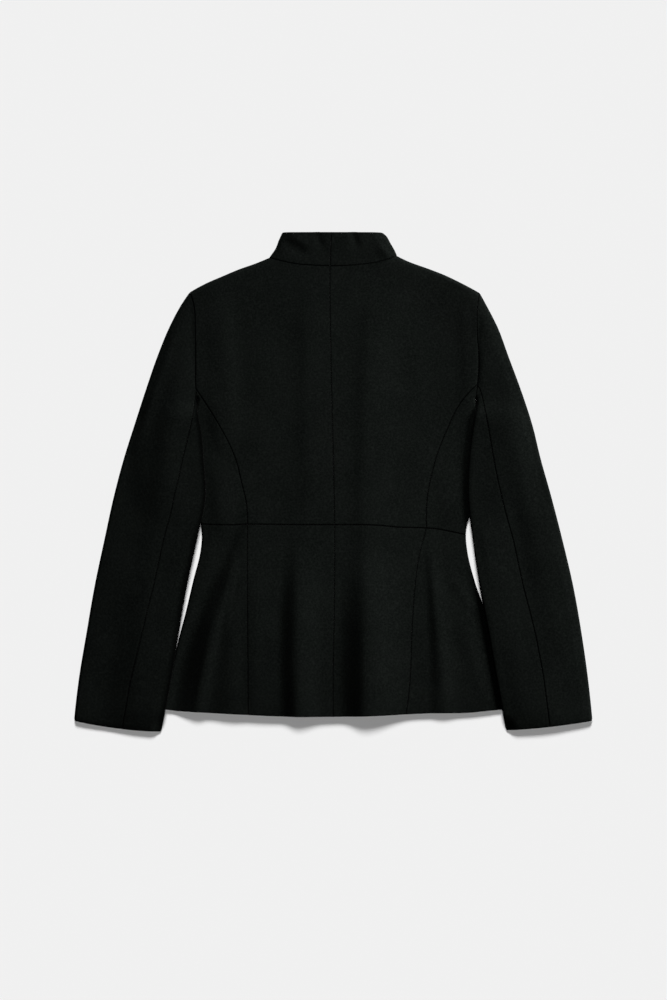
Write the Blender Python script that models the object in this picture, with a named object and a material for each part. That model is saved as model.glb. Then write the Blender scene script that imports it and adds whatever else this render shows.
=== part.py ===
"""Peplum jacket laid flat on its front, back up: hollow cut pieces of cloth, set edge to edge at their seams.

Sizes and tables are in millimetres, with +Y towards the collar, +X to the right as seen from above
and Z up from the surface that the jacket lies on. The middle of the whole jacket is at X 0, Y 0.
"""

import math
from collections import namedtuple

import bmesh
import bpy
import numpy as np

MM = 0.001
JACKET = "peplum_jacket"
SIGN = {"left": -1.0, "right": 1.0}

# Cloth: wool crepe with its lining, a firmer collar, and the open line of each seam
WALL = 1.8
COLLAR_WALL = 2.4
SEAM_GAP = 0.3
FRONT_GAP = 0.6

# How the jacket lies: loft of both layers together, and of a sleeve that lies over the body
SLEEVE_BULK = 2.0
BULK_FROM, BULK_OVER = 120.0, 65.0
BULK_ABOVE, BULK_FADE = 55.0, 55.0
LAY_CLEARANCE = 0.9
LIFT_MARGIN = 7.0
LIFT_RAMP = 20.0
PIT_FADE = 15.0
PIT_CLEAR = 1.0
WAVE_RAMP = 14.0
FLUTE_GROWTH = 1.2

# Steps round a folded edge, as angles from the edge up to the flat, and rows and columns between
FOLD_ANGLES = (0, 30, 60, 90)
FOLD_SLANT = 1.25
LINE_STEP = 3.0
SLOPE_STEP = 0.5
ON_EDGE = 0.02
NECK_COLUMNS = 5
SHOULDER_COLUMNS = 5
SIDE_COLUMNS = 7
PRINCESS_ROWS = 9
PEPLUM_ROWS = 9
COLLAR_ROWS = 3
SLEEVE_COLUMNS = {"to_princess": 5, "to_hind": 3, "to_fold": 4, "to_fore": 8, "past_fore": 3}
SLEEVE_ROWS = (0, 0.2, 0.45, 1, 2, 3, 4, 4.5, 5, 5.5, 6, 7, 8, 9, 10, 12)
CUFF_HOLD, ARM_HOLD = 3.0, 4.0
PRINCESS_SECTIONS = 4
WAIST_HOLD = 3.0
SIDE_ROWS = (0, 0.14, 0.28, 0.42, 0.56, 0.7, 0.8, 0.88, 0.95, 1)

CREPE = (0.0048, 0.0056, 0.0051, 1.0)
CREPE_ROUGHNESS = 0.88
SMOOTH_ANGLE = math.radians(42)


def table(names, *rows):
    """Columns by name, from a row for each station."""
    return dict(zip(names.split(), np.array(rows, float).T))


# Both layers together, from the peplum's hem up to the collar's top edge
THICKNESS = table(
    "y height",
    (-310, 6.8),
    (-130, 6.4),
    (-57, 6.0),
    (0, 6.3),
    (114, 7.0),
    (200, 7.6),
    (256, 9.0),
    (300, 10.4),
    (337, 11.0),
)
# Middle seam of the back, collar and peplum
COLLAR_TOP_Y, NECK_Y = 336.5, 291.3
WAIST_MIDDLE = (1.5, -57.4)
BACK_SEAM = table(
    "x y",
    (-2.5, COLLAR_TOP_Y),
    (-4.5, NECK_Y),
    (-4.0, 207.0),
    (0.5, 3.0),
    WAIST_MIDDLE,
    (1.3, -153.5),
    (-0.5, -265.5),
    (-0.5, -316.0),
)
# Waist seam and hem, seen from the back, left to right
WAIST = table(
    "x y",
    (-179.2, -56.4),
    (-145, -57.6),
    (-116, -56.9),
    (-47.5, -57.4),
    WAIST_MIDDLE,
    (64.5, -58.5),
    (86.5, -60.6),
    (125.6, -61.9),
    (139.5, -63.0),
    (157.5, -66.4),
    (179.2, -71.0),
)
HEM = table(
    "x y",
    (-229, -306),
    (-214.5, -308),
    (-190, -309.5),
    (-126, -313),
    (-85.5, -315),
    (1.5, -316),
    (64.5, -314.3),
    (130.5, -311.5),
    (191, -310.2),
    (206.5, -308.5),
    (242.5, -306),
)
FRONT_HEM = -303.0

# Lines on each side, with the distance out from the middle and the height up the jacket
LINE = "left left_y right right_y"
COLLAR_SIDE = table(
    LINE,
    (86.5, 302.5, 86.0, 305.0),
    (83.5, 306.5, 83.5, 311.0),
    (77.5, 315.5, 77.0, 322.5),
    (73.5, 326.0, 71.5, 332.0),
    (68.5, 336.5, 66.0, 336.3),
)
NECK = table(
    LINE,
    (4.5, 291.3, -4.5, 291.3),
    (27.5, 292.0, 15.0, 291.4),
    (47.0, 293.6, 38.0, 293.2),
    (66.0, 297.0, 64.0, 297.2),
    (86.5, 302.5, 86.0, 305.0),
)
FRONT_NECK = table(
    LINE,
    (0.3, 226.0, 0.3, 226.0),
    (29.0, 235.0, 29.0, 235.5),
    (58.5, 261.0, 58.5, 262.5),
    (86.5, 302.5, 86.0, 305.0),
)
FRONT_COLLAR = table(
    LINE,
    (0.3, 274.5, 0.3, 274.5),
    (23.5, 284.0, 22.5, 284.0),
    (45.0, 305.5, 43.5, 305.5),
    (68.5, 336.5, 66.0, 336.3),
)
SHOULDER = table(
    LINE,
    (86.5, 302.5, 86.0, 305.0),
    (106.0, 294.5, 97.0, 299.5),
    (126.0, 287.5, 130.5, 287.0),
    (151.0, 277.0, 148.5, 280.0),
    (171.0, 268.3, 164.5, 272.5),
    (193.5, 256.0, 197.5, 255.0),
)
ARMHOLE = table(
    LINE,
    (193.5, 256.0, 197.5, 255.0),
    (189.3, 244.0, 194.8, 241.0),
    (186.0, 197.5, 194.2, 197.5),
    (185.7, 160.0, 196.0, 164.0),
    (185.7, 129.0, 194.8, 138.0),
    (183.3, 113.7, 192.0, 113.7),
)
FRONT_ARMHOLE = table(
    LINE,
    (193.5, 256.0, 197.5, 255.0),
    (186.5, 240.0, 191.5, 239.0),
    (179.5, 205.0, 187.5, 205.0),
    (179.0, 170.0, 187.5, 170.0),
    (183.0, 140.0, 192.0, 140.0),
    (184.6, 125.0, 193.6, 125.0),
    (183.3, 113.7, 192.0, 113.7),
)
# Princess seam of the back from the waist up, short of the armhole point that it runs into
PRINCESS = table(
    LINE,
    (116.0, -56.9, 125.6, -61.9),
    (117.0, -30.5, 126.0, -26.0),
    (124.5, 3.0, 130.6, 3.0),
    (129.8, 25.0, 134.8, 20.0),
    (139.0, 49.0, 140.8, 40.0),
    (155.0, 78.5, 151.0, 65.5),
    (171.0, 104.5, 174.0, 110.5),
)
PEPLUM_SEAM = table(
    LINE,
    (116.0, -56.9, 125.6, -61.9),
    (116.0, -100.0, 114.5, -105.0),
    (115.8, -153.5, 109.0, -149.5),
    (115.5, -210.0, 105.8, -198.5),
    (115.0, -265.0, 103.3, -265.5),
    (114.8, -313.6, 98.0, -313.0),
)
# Folded side of the body, from the armpit down to the hem, with the dip that clears the sleeve
BODY_SIDE = table(
    LINE,
    (183.3, 113.7, 192.0, 113.7),
    (182.0, 107.0, 190.7, 107.0),
    (181.4, 100.0, 190.0, 100.0),
    (182.4, 93.0, 190.8, 93.0),
    (190.0, 80.0, 197.0, 80.0),
    (201.0, 57.0, 207.0, 57.0),
    (203.5, 30.0, 209.5, 30.0),
    (198.5, -4.0, 204.5, -4.0),
    (188.0, -35.0, 191.0, -35.0),
    (179.2, -56.4, 180.6, -56.4),
    (177.4, -72.0, 179.0, -72.0),
    (179.0, -92.0, 180.8, -92.0),
    (188.8, -132.0, 190.5, -132.0),
    (199.0, -175.0, 205.5, -175.0),
    (209.0, -213.0, 217.0, -213.0),
    (218.5, -253.5, 229.0, -253.5),
    (229.0, -306.0, 242.5, -306.0),
)
# Sleeve sections from the cuff up to the armhole: outer fold, inner fold, and the share of the
# width, from the outer fold, at which the hind seam runs
SECTION = "outer outer_y inner inner_y hind"
SLEEVE = {
    "left": table(
        SECTION,
        (349.6, -321.6, 232.3, -336.5, 0.553),
        (342.6, -261.6, 219.0, -269.5, 0.56),
        (333.1, -204.9, 209.2, -208.9, 0.60),
        (321.9, -140.1, 197.4, -140.1, 0.64),
        (308.8, -78.0, 183.9, -78.0, 0.64),
        (295.3, -16.5, 171.6, -14.5, 0.66),
        (281.8, 34.1, 174.3, 27.3, 0.73),
        (269.0, 74.6, 176.0, 53.0, 0.78),
        (254.1, 120.5, 178.0, 70.5, 0.825),
        (237.9, 167.7, 181.2, 86.7, 0.88),
        (220.4, 210.3, 183.2, 100.2, 0.915),
        (206.2, 237.3, 183.7, 108.3, 0.93),
        (193.5, 256.0, 183.3, 113.7, 0.94),
    ),
    "right": table(
        SECTION,
        (349.6, -321.6, 233.1, -334.6, 0.498),
        (343.2, -261.6, 219.2, -261.6, 0.486),
        (335.1, -204.9, 209.3, -204.9, 0.50),
        (323.7, -140.1, 197.2, -140.1, 0.537),
        (309.2, -78.0, 188.1, -78.0, 0.55),
        (293.3, -16.5, 181.1, -15.9, 0.60),
        (279.1, 34.1, 182.7, 32.7, 0.658),
        (269.3, 74.6, 185.3, 55.7, 0.696),
        (254.5, 120.5, 187.6, 73.2, 0.72),
        (237.0, 167.7, 190.4, 89.4, 0.75),
        (221.1, 210.3, 192.1, 101.6, 0.80),
        (207.2, 237.3, 192.5, 109.0, 0.85),
        (197.5, 255.0, 192.0, 113.7, 0.894),
    ),
}
CUFF_BOW = {"left": 3.0, "right": 1.7}
PRINCESS_TOP = {"left": 0.915, "right": 0.87}
FORE_SEAM = table("section share", (0, 0.80), (6, 0.85), (12, 0.96))

# Crests and troughs of the peplum's flutes, left to right: X at the waist, halfway and at the hem,
# rise above the flat at the hem, and how far down the peplum it starts
FLUTES = table(
    "waist middle hem rise start",
    (-172, -198, -226, 0.0, 0.0),
    (-123, -156, -184, 5.5, 0.05),
    (-119, -146, -166, 3.0, 0.05),
    (-113, -136, -138, 4.2, 0.30),
    (-106, -118, -112, 2.2, 0.30),
    (-66, -72, -72, 3.2, 0.30),
    (-38, -53, -50, 8.0, 0.10),
    (-12, -12, -14, 3.2, 0.15),
    (8, 8, 10, 3.0, 0.15),
    (39, 40, 40, 9.5, 0.08),
    (98, 104, 108, 1.6, 0.15),
    (120, 127, 130, 1.8, 0.15),
    (128, 138, 144, 4.0, 0.10),
    (150, 166, 176, 1.4, 0.10),
    (174, 198, 236, 0.0, 0.0),
)

Cloth = namedtuple("Cloth", "edges height base wave wall")
Edge = namedtuple("Edge", "points normals")


def eased(value):
    """0 to 1 with a soft start and end, as value goes from 0 to 1."""
    t = np.clip(value, 0, 1)
    return t * t * (3 - 2 * t)


class Line:
    """A smooth line through points, read by share of its length, with its normals on one side."""

    def __init__(self, points, turn=1.0, first_normal=None):
        given = np.array(points, float)
        self.knots = np.concatenate([[0], np.cumsum(np.linalg.norm(np.diff(given, axis=0), axis=1))])
        slope = np.gradient(given, self.knots, axis=0, edge_order=1 if len(given) < 3 else 2)
        self.length = self.knots[-1]
        count = max(2, int(self.length / LINE_STEP) + 1)
        self.at_length = np.unique(np.concatenate([np.linspace(0, self.length, count), self.knots]))
        part = np.clip(np.searchsorted(self.knots, self.at_length, "right") - 1, 0, len(given) - 2)
        span = np.diff(self.knots)[part][:, None]
        t = (self.at_length[:, None] - self.knots[part][:, None]) / span
        self.points = (
            (2 * t**3 - 3 * t**2 + 1) * given[part]
            + (t**3 - 2 * t**2 + t) * span * slope[part]
            + (3 * t**2 - 2 * t**3) * given[part + 1]
            + (t**3 - t**2) * span * slope[part + 1]
        )
        along = np.gradient(self.points, self.at_length, axis=0)
        along /= np.linalg.norm(along, axis=1, keepdims=True)
        self.normals = turn * np.column_stack([along[:, 1], -along[:, 0]])
        if first_normal is not None:
            self.normals[0] = first_normal

    def at(self, shares):
        distance = np.asarray(shares, float) * self.length
        return np.column_stack([np.interp(distance, self.at_length, self.points[:, k]) for k in (0, 1)])

    def at_sections(self, sections):
        """Points at fractions of the numbered points that the line was drawn through."""
        distance = np.interp(sections, np.arange(len(self.knots)), self.knots)
        return self.at(distance / self.length)

    def share_at_height(self, y):
        order = np.argsort(self.points[:, 1])
        return float(np.interp(y, self.points[order, 1], self.at_length[order])) / self.length


def side_points(columns, side):
    return np.column_stack([SIGN[side] * columns[side], columns[side + "_y"]])


def side_line(columns, side, **settings):
    return Line(side_points(columns, side), **settings)


def joined(*lines):
    """One line of edge points from several that follow on, for measuring distance to it."""
    return Edge(
        np.concatenate([line.points for line in lines]),
        np.concatenate([line.normals for line in lines]),
    )


def edge_distance(points, edges):
    """Distance from each point to the nearest folded edge, and the direction out over that edge."""
    nearest = np.full(len(points), np.inf)
    outward = np.zeros((len(points), 2))
    row = np.arange(len(points))
    for edge in edges:
        start, step = edge.points[:-1], np.diff(edge.points, axis=0)
        squared = np.maximum((step**2).sum(1), 1e-12)
        share = np.clip(((points[:, None] - start) * step).sum(2) / squared, 0, 1)
        near = start + share[..., None] * step
        gap = np.linalg.norm(near - points[:, None], axis=2)
        best = gap.argmin(1)
        distance, share, near = gap[row, best], share[row, best][:, None], near[row, best]
        way = (near - points) / np.maximum(distance, 1e-9)[:, None]
        on_edge = distance < ON_EDGE
        normal = edge.normals[best] * (1 - share) + edge.normals[best + 1] * share
        way[on_edge] = normal[on_edge] / np.linalg.norm(normal[on_edge], axis=1, keepdims=True)
        closer = distance < nearest
        nearest[closer], outward[closer] = distance[closer], way[closer]
    return nearest, outward


def body_height(points):
    height = np.interp(points[:, 1], THICKNESS["y"], THICKNESS["height"])
    out = eased((abs(points[:, 0]) - BULK_FROM) / BULK_OVER)
    return height + SLEEVE_BULK * out * eased((points[:, 1] - BULK_ABOVE) / BULK_FADE)


def sleeve_height(points):
    height = np.interp(points[:, 1], THICKNESS["y"], THICKNESS["height"])
    return height + SLEEVE_BULK * eased((abs(points[:, 0]) - BULK_FROM) / BULK_OVER)


def flat(points):
    return np.zeros(len(points))


def flute_rise(points):
    """Rise of the peplum's flutes above the flat: none at the waist and the most at the hem."""
    waist = np.interp(points[:, 0], WAIST["x"], WAIST["y"])
    hem = np.interp(points[:, 0], HEM["x"], HEM["y"])
    down = np.clip((waist - points[:, 1]) / (waist - hem), 0, 1)
    to_waist, to_middle, to_hem = (1 - down) * (1 - 2 * down), 4 * down * (1 - down), down * (2 * down - 1)
    places = (
        np.outer(to_waist, FLUTES["waist"])
        + np.outer(to_middle, FLUTES["middle"])
        + np.outer(to_hem, FLUTES["hem"])
    )
    grown = np.clip((down[:, None] - FLUTES["start"]) / (1 - FLUTES["start"]), 0, 1)
    rises = FLUTES["rise"] * grown**FLUTE_GROWTH
    rise = np.zeros(len(points))
    for n, (x, place, height) in enumerate(zip(points[:, 0], places, rises)):
        k = int(np.clip(np.searchsorted(place, x) - 1, 0, len(place) - 2))
        across = eased((x - place[k]) / (place[k + 1] - place[k]))
        rise[n] = height[k] + (height[k + 1] - height[k]) * across
    return rise


def lift_over_body(side):
    """How far a sleeve is raised where it lies over the side of the body, and just beyond it."""
    edge = SIDE_LINES[side].points
    order = np.argsort(edge[:, 1])
    heights, reach = edge[order, 1], SIGN[side] * edge[order, 0]

    def lift(points):
        x, y = SIGN[side] * points[:, 0], points[:, 1]
        limit = np.interp(y, heights, reach)
        beyond = np.hypot(np.maximum(x - limit, 0), np.maximum(heights[0] - y, 0))
        under = np.column_stack([SIGN[side] * np.minimum(x, limit), np.maximum(y, heights[0])])
        full = body_height(under) + flute_rise(under) + LAY_CLEARANCE
        below_pit = heights[-1] - PIT_CLEAR - y
        return full * (1 - eased((beyond - LIFT_MARGIN) / LIFT_RAMP)) * eased(below_pit / PIT_FADE)

    return lift


def laid(points, cloth, face):
    """Outer and inner points of a layer: face 1 lies on top, and face -1 on the surface below."""
    shape = points.shape[:-1]
    flat_points = points.reshape(-1, 2)
    distance, outward = edge_distance(flat_points, cloth.edges)
    radius = cloth.height(flat_points) / 2
    cosine = np.clip(1 - distance / radius, 0, 1)
    sine = np.sqrt(1 - cosine**2)

    def ground(at):
        level = cloth.base(at)
        if face > 0:
            level = level + cloth.height(at) + cloth.wave(at)
        return level

    def slope(step):
        return (ground(flat_points + step) - ground(flat_points - step)) / (2 * SLOPE_STEP)

    slope_x, slope_y = slope((SLOPE_STEP, 0)), slope((0, SLOPE_STEP))
    z = cloth.base(flat_points) + radius * (1 + face * sine)
    if face > 0:
        z = z + cloth.wave(flat_points) * eased(distance / WAVE_RAMP)
    normal = np.column_stack(
        [
            cosine * outward[:, 0] - face * sine * slope_x,
            cosine * outward[:, 1] - face * sine * slope_y,
            face * sine,
        ]
    )
    normal /= np.linalg.norm(normal, axis=1, keepdims=True)
    outer = np.column_stack([flat_points, z])
    inner = outer - cloth.wall * normal
    return np.stack([outer, inner]).reshape(2, *shape, 3)


def patch(first, last, start, end, shares, holds=None):
    """Grid of flat points between four lines: its rows run from start to end, first row to last.

    Holds say how far each row follows the first line and the last one, where an even change won't do.
    """
    ruled = start[:, None] + (end - start)[:, None] * shares[..., None]
    if holds is None:
        down = (shares_of(start) + shares_of(end)) / 2
        holds = 1 - down, down
    as_first, as_last = (hold[:, None, None] for hold in holds)
    return ruled + as_first * (first - ruled[0]) + as_last * (last - ruled[-1])


def stations(length, marks, start_radius=0.0, end_radius=0.0):
    """Shares along a length: fine steps round a fold at either end, even steps up to each mark."""
    fold = np.array([1 - math.cos(math.radians(angle)) for angle in FOLD_ANGLES])
    head = fold * start_radius / length if start_radius else np.zeros(1)
    tail = 1 - fold[::-1] * end_radius / length if end_radius else np.ones(1)
    shares = list(head)
    for mark, steps in marks:
        stop = tail[0] if mark == 1 else mark
        shares += list(np.linspace(shares[-1], stop, steps + 1)[1:])
    return np.array(shares + list(tail[1:]))


def widths(start, end):
    return np.linalg.norm(end - start, axis=1)


def shares_of(points):
    lengths = np.concatenate([[0], np.cumsum(np.linalg.norm(np.diff(points, axis=0), axis=1))])
    return lengths / lengths[-1]


def on_seam(columns, xs):
    """Points of a seam that runs across the jacket, at the given X."""
    line = Line(np.column_stack([columns["x"], columns["y"]]))
    return np.column_stack([xs, np.interp(xs, line.points[:, 0], line.points[:, 1])])


def part_seam(layers, edge, span=slice(None)):
    """Draws one edge of a piece back by half the seam gap, square to the seam."""
    grid = {
        "first": (layers[:, 0], layers[:, 1]),
        "last": (layers[:, -1], layers[:, -2]),
        "start": (layers[:, :, 0], layers[:, :, 1]),
        "end": (layers[:, :, -1], layers[:, :, -2]),
    }[edge]
    border, next_in = grid[0][0][span], grid[1][0][span]
    steps = np.diff(border, axis=0)
    steps /= np.linalg.norm(steps, axis=1, keepdims=True)
    along = np.vstack([steps[:1], steps[:-1] + steps[1:], steps[-1:]])
    along /= np.linalg.norm(along, axis=1, keepdims=True)
    inward = np.cross(border - grid[0][1][span], along)
    inward *= SEAM_GAP / 2 / np.linalg.norm(inward, axis=1, keepdims=True)
    if ((next_in - border) * inward).sum() < 0:
        inward = -inward
    grid[0][0][span] += inward
    grid[0][1][span] += inward


def part_fold(layers, edge, face, span=slice(None)):
    """Opens a seam that runs along a folded edge, where the top and bottom layers meet."""
    border = {"last": layers[:, -1], "start": layers[:, :, 0], "end": layers[:, :, -1]}[edge]
    border[:, span, 2] += face * SEAM_GAP / 2


def split_inwards(face):
    """Creases a twisted face of a cut edge inwards, so that it can't reach over the seam gap."""
    a, b, c, d = face.verts
    twist = (a.co + c.co - b.co - d.co).dot(face.normal)
    ends = (a, c) if twist < 0 else (b, d)
    bmesh.utils.face_split(face, *ends)


def solid(name, layers):
    """One piece of cloth: a grid laid to the outer points, and its copy laid to the inner ones."""
    rows, columns = layers.shape[1:3]
    mesh = bmesh.new()
    bmesh.ops.create_grid(mesh, x_segments=columns - 1, y_segments=rows - 1, size=1)
    mark = mesh.verts.layers.int.new("station")
    for vert in mesh.verts:
        column = round((vert.co.x + 1) / 2 * (columns - 1))
        row = round((vert.co.y + 1) / 2 * (rows - 1))
        vert[mark] = row * columns + column + 1
    made = bmesh.ops.extrude_face_region(mesh, geom=mesh.faces[:], use_keep_orig=True)
    copies = {item for item in made["geom"] if isinstance(item, bmesh.types.BMVert)}
    for vert in mesh.verts:
        row, column = divmod(vert[mark] - 1, columns)
        vert.co = layers[int(vert in copies), row, column] * MM
    cut_edges = [face for face in mesh.faces if len(copies.intersection(face.verts)) == 2]
    mesh.verts.layers.int.remove(mark)
    bmesh.ops.recalc_face_normals(mesh, faces=mesh.faces[:])
    if mesh.calc_volume(signed=True) < 0:
        bmesh.ops.reverse_faces(mesh, faces=mesh.faces[:])
    mesh.normal_update()
    for face in cut_edges:
        split_inwards(face)
    data = bpy.data.meshes.new(name)
    mesh.to_mesh(data)
    mesh.free()
    data.shade_smooth()
    data.set_sharp_from_angle(angle=SMOOTH_ANGLE)
    data.materials.append(cloth_material(name))
    piece = bpy.data.objects.new(name, data)
    PIECES.objects.link(piece)
    return piece


def cloth_material(name):
    material = bpy.data.materials.new(name + "_crepe")
    material.use_nodes = True
    shader = material.node_tree.nodes["Principled BSDF"]
    shader.inputs["Base Color"].default_value = CREPE
    shader.inputs["Roughness"].default_value = CREPE_ROUGHNESS
    shader.inputs["Metallic"].default_value = 0.0
    return material


def collar(side):
    """Half of the stand collar, from the middle back round its side fold to the middle front."""
    cloth = BODY._replace(wall=COLLAR_WALL)
    fold = side_line(COLLAR_SIDE, side).at(np.linspace(0, 1, COLLAR_ROWS + 1))
    marks = [(1, NECK_COLUMNS)]

    def half(neck, top, middle):
        radius = body_height(fold) / 2 * FOLD_SLANT
        shares = np.array(
            [stations(w, marks, end_radius=r) for w, r in zip(widths(middle, fold), radius)]
        )
        return patch(neck.at(shares[0]), top.at(shares[-1]), middle, fold, shares)

    back_line = back_seam_points(np.linspace(NECK_Y, COLLAR_TOP_Y, COLLAR_ROWS + 1))
    corner = fold[-1]
    back = half(side_line(NECK, side), Line([back_line[-1], corner]), back_line)
    front_ends = side_points(FRONT_NECK, side)[0], side_points(FRONT_COLLAR, side)[0]
    front_line = Line(front_ends).at(np.linspace(0, 1, COLLAR_ROWS + 1))
    front = half(side_line(FRONT_NECK, side), side_line(FRONT_COLLAR, side), front_line)
    layers = np.concatenate([laid(back, cloth, 1), laid(front, cloth, -1)[:, :, -2::-1]], axis=2)
    part_seam(layers, "first")
    part_seam(layers, "start")
    solid(f"collar_{side}", layers)
    return back[0], front[0]


def back_seam_points(heights):
    line = Line(np.column_stack([BACK_SEAM["x"], BACK_SEAM["y"]]))
    order = np.argsort(line.points[:, 1])
    return np.column_stack([np.interp(heights, line.points[order, 1], line.points[order, 0]), heights])


def sleeve(side):
    """Top and under sleeve: one tube of two pieces, from the cuff to the armhole."""
    columns = SLEEVE[side]
    cloth = SLEEVE_CLOTH[side]
    last = len(columns["outer"]) - 1
    sections = np.array(SLEEVE_ROWS)
    outer = OUTER_LINES[side].at_sections(sections)
    inner = INNER_LINES[side].at_sections(sections)
    steps = SLEEVE_COLUMNS
    as_cuff = np.clip(1 - sections / CUFF_HOLD, 0, 1) ** 2
    as_armhole = np.clip(1 - (last - sections) / ARM_HOLD, 0, 1) ** 2

    def layer(armhole, marks_at):
        shares = []
        for n, width in enumerate(widths(outer, inner)):
            ends = sleeve_height(np.array([outer[n], inner[n]])) / 2
            shares.append(stations(width, marks_at(sections[n]), ends[0] * FOLD_SLANT, ends[1]))
        shares = np.array(shares)
        bow = CUFF_BOW[side] * 4 * shares[0] * (1 - shares[0])
        cuff = outer[0] + (inner[0] - outer[0]) * shares[0][:, None]
        cuff[:, 1] -= bow
        return patch(cuff, armhole.at(shares[-1]), outer, inner, shares, (as_cuff, as_armhole))

    def top_marks(k):
        even = steps["to_princess"] / (steps["to_princess"] + steps["to_hind"])
        hind = float(np.interp(k, np.arange(last + 1), columns["hind"]))
        at_top = PRINCESS_TOP[side] / columns["hind"][-1]
        princess = even + (at_top - even) * eased(1 - (last - k) / PRINCESS_SECTIONS)
        return [(hind * princess, steps["to_princess"]), (hind, steps["to_hind"]), (1, steps["to_fold"])]

    def bottom_marks(k):
        fore = float(np.interp(k, FORE_SEAM["section"], FORE_SEAM["share"]))
        return [(fore, steps["to_fore"]), (1, steps["past_fore"])]

    top = layer(side_line(ARMHOLE, side), top_marks)
    bottom = layer(side_line(FRONT_ARMHOLE, side), bottom_marks)
    folded = len(FOLD_ANGLES) - 1
    princess = folded + steps["to_princess"]
    hind = princess + steps["to_hind"]
    fore = folded + steps["to_fore"]
    above, below = laid(top, cloth, 1), laid(bottom, cloth, -1)
    top_sleeve = np.concatenate([above[:, :, hind::-1], below[:, :, 1 : fore + 1]], axis=2)
    under_sleeve = np.concatenate([above[:, :, hind:], below[:, :, -2 : fore - 1 : -1]], axis=2)
    for name, layers in (("top_sleeve", top_sleeve), ("under_sleeve", under_sleeve)):
        layers = layers.copy()
        part_seam(layers, "last")
        part_seam(layers, "start")
        part_seam(layers, "end")
        solid(f"{name}_{side}", layers)
    return top[-1], bottom[-1], princess


def blended_shares(first, last, start_rows):
    """Row shares that go evenly from those of the first row to those of the last."""
    t = (start_rows - start_rows[0]) / (start_rows[-1] - start_rows[0])
    return first + (last - first) * t[:, None]


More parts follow.
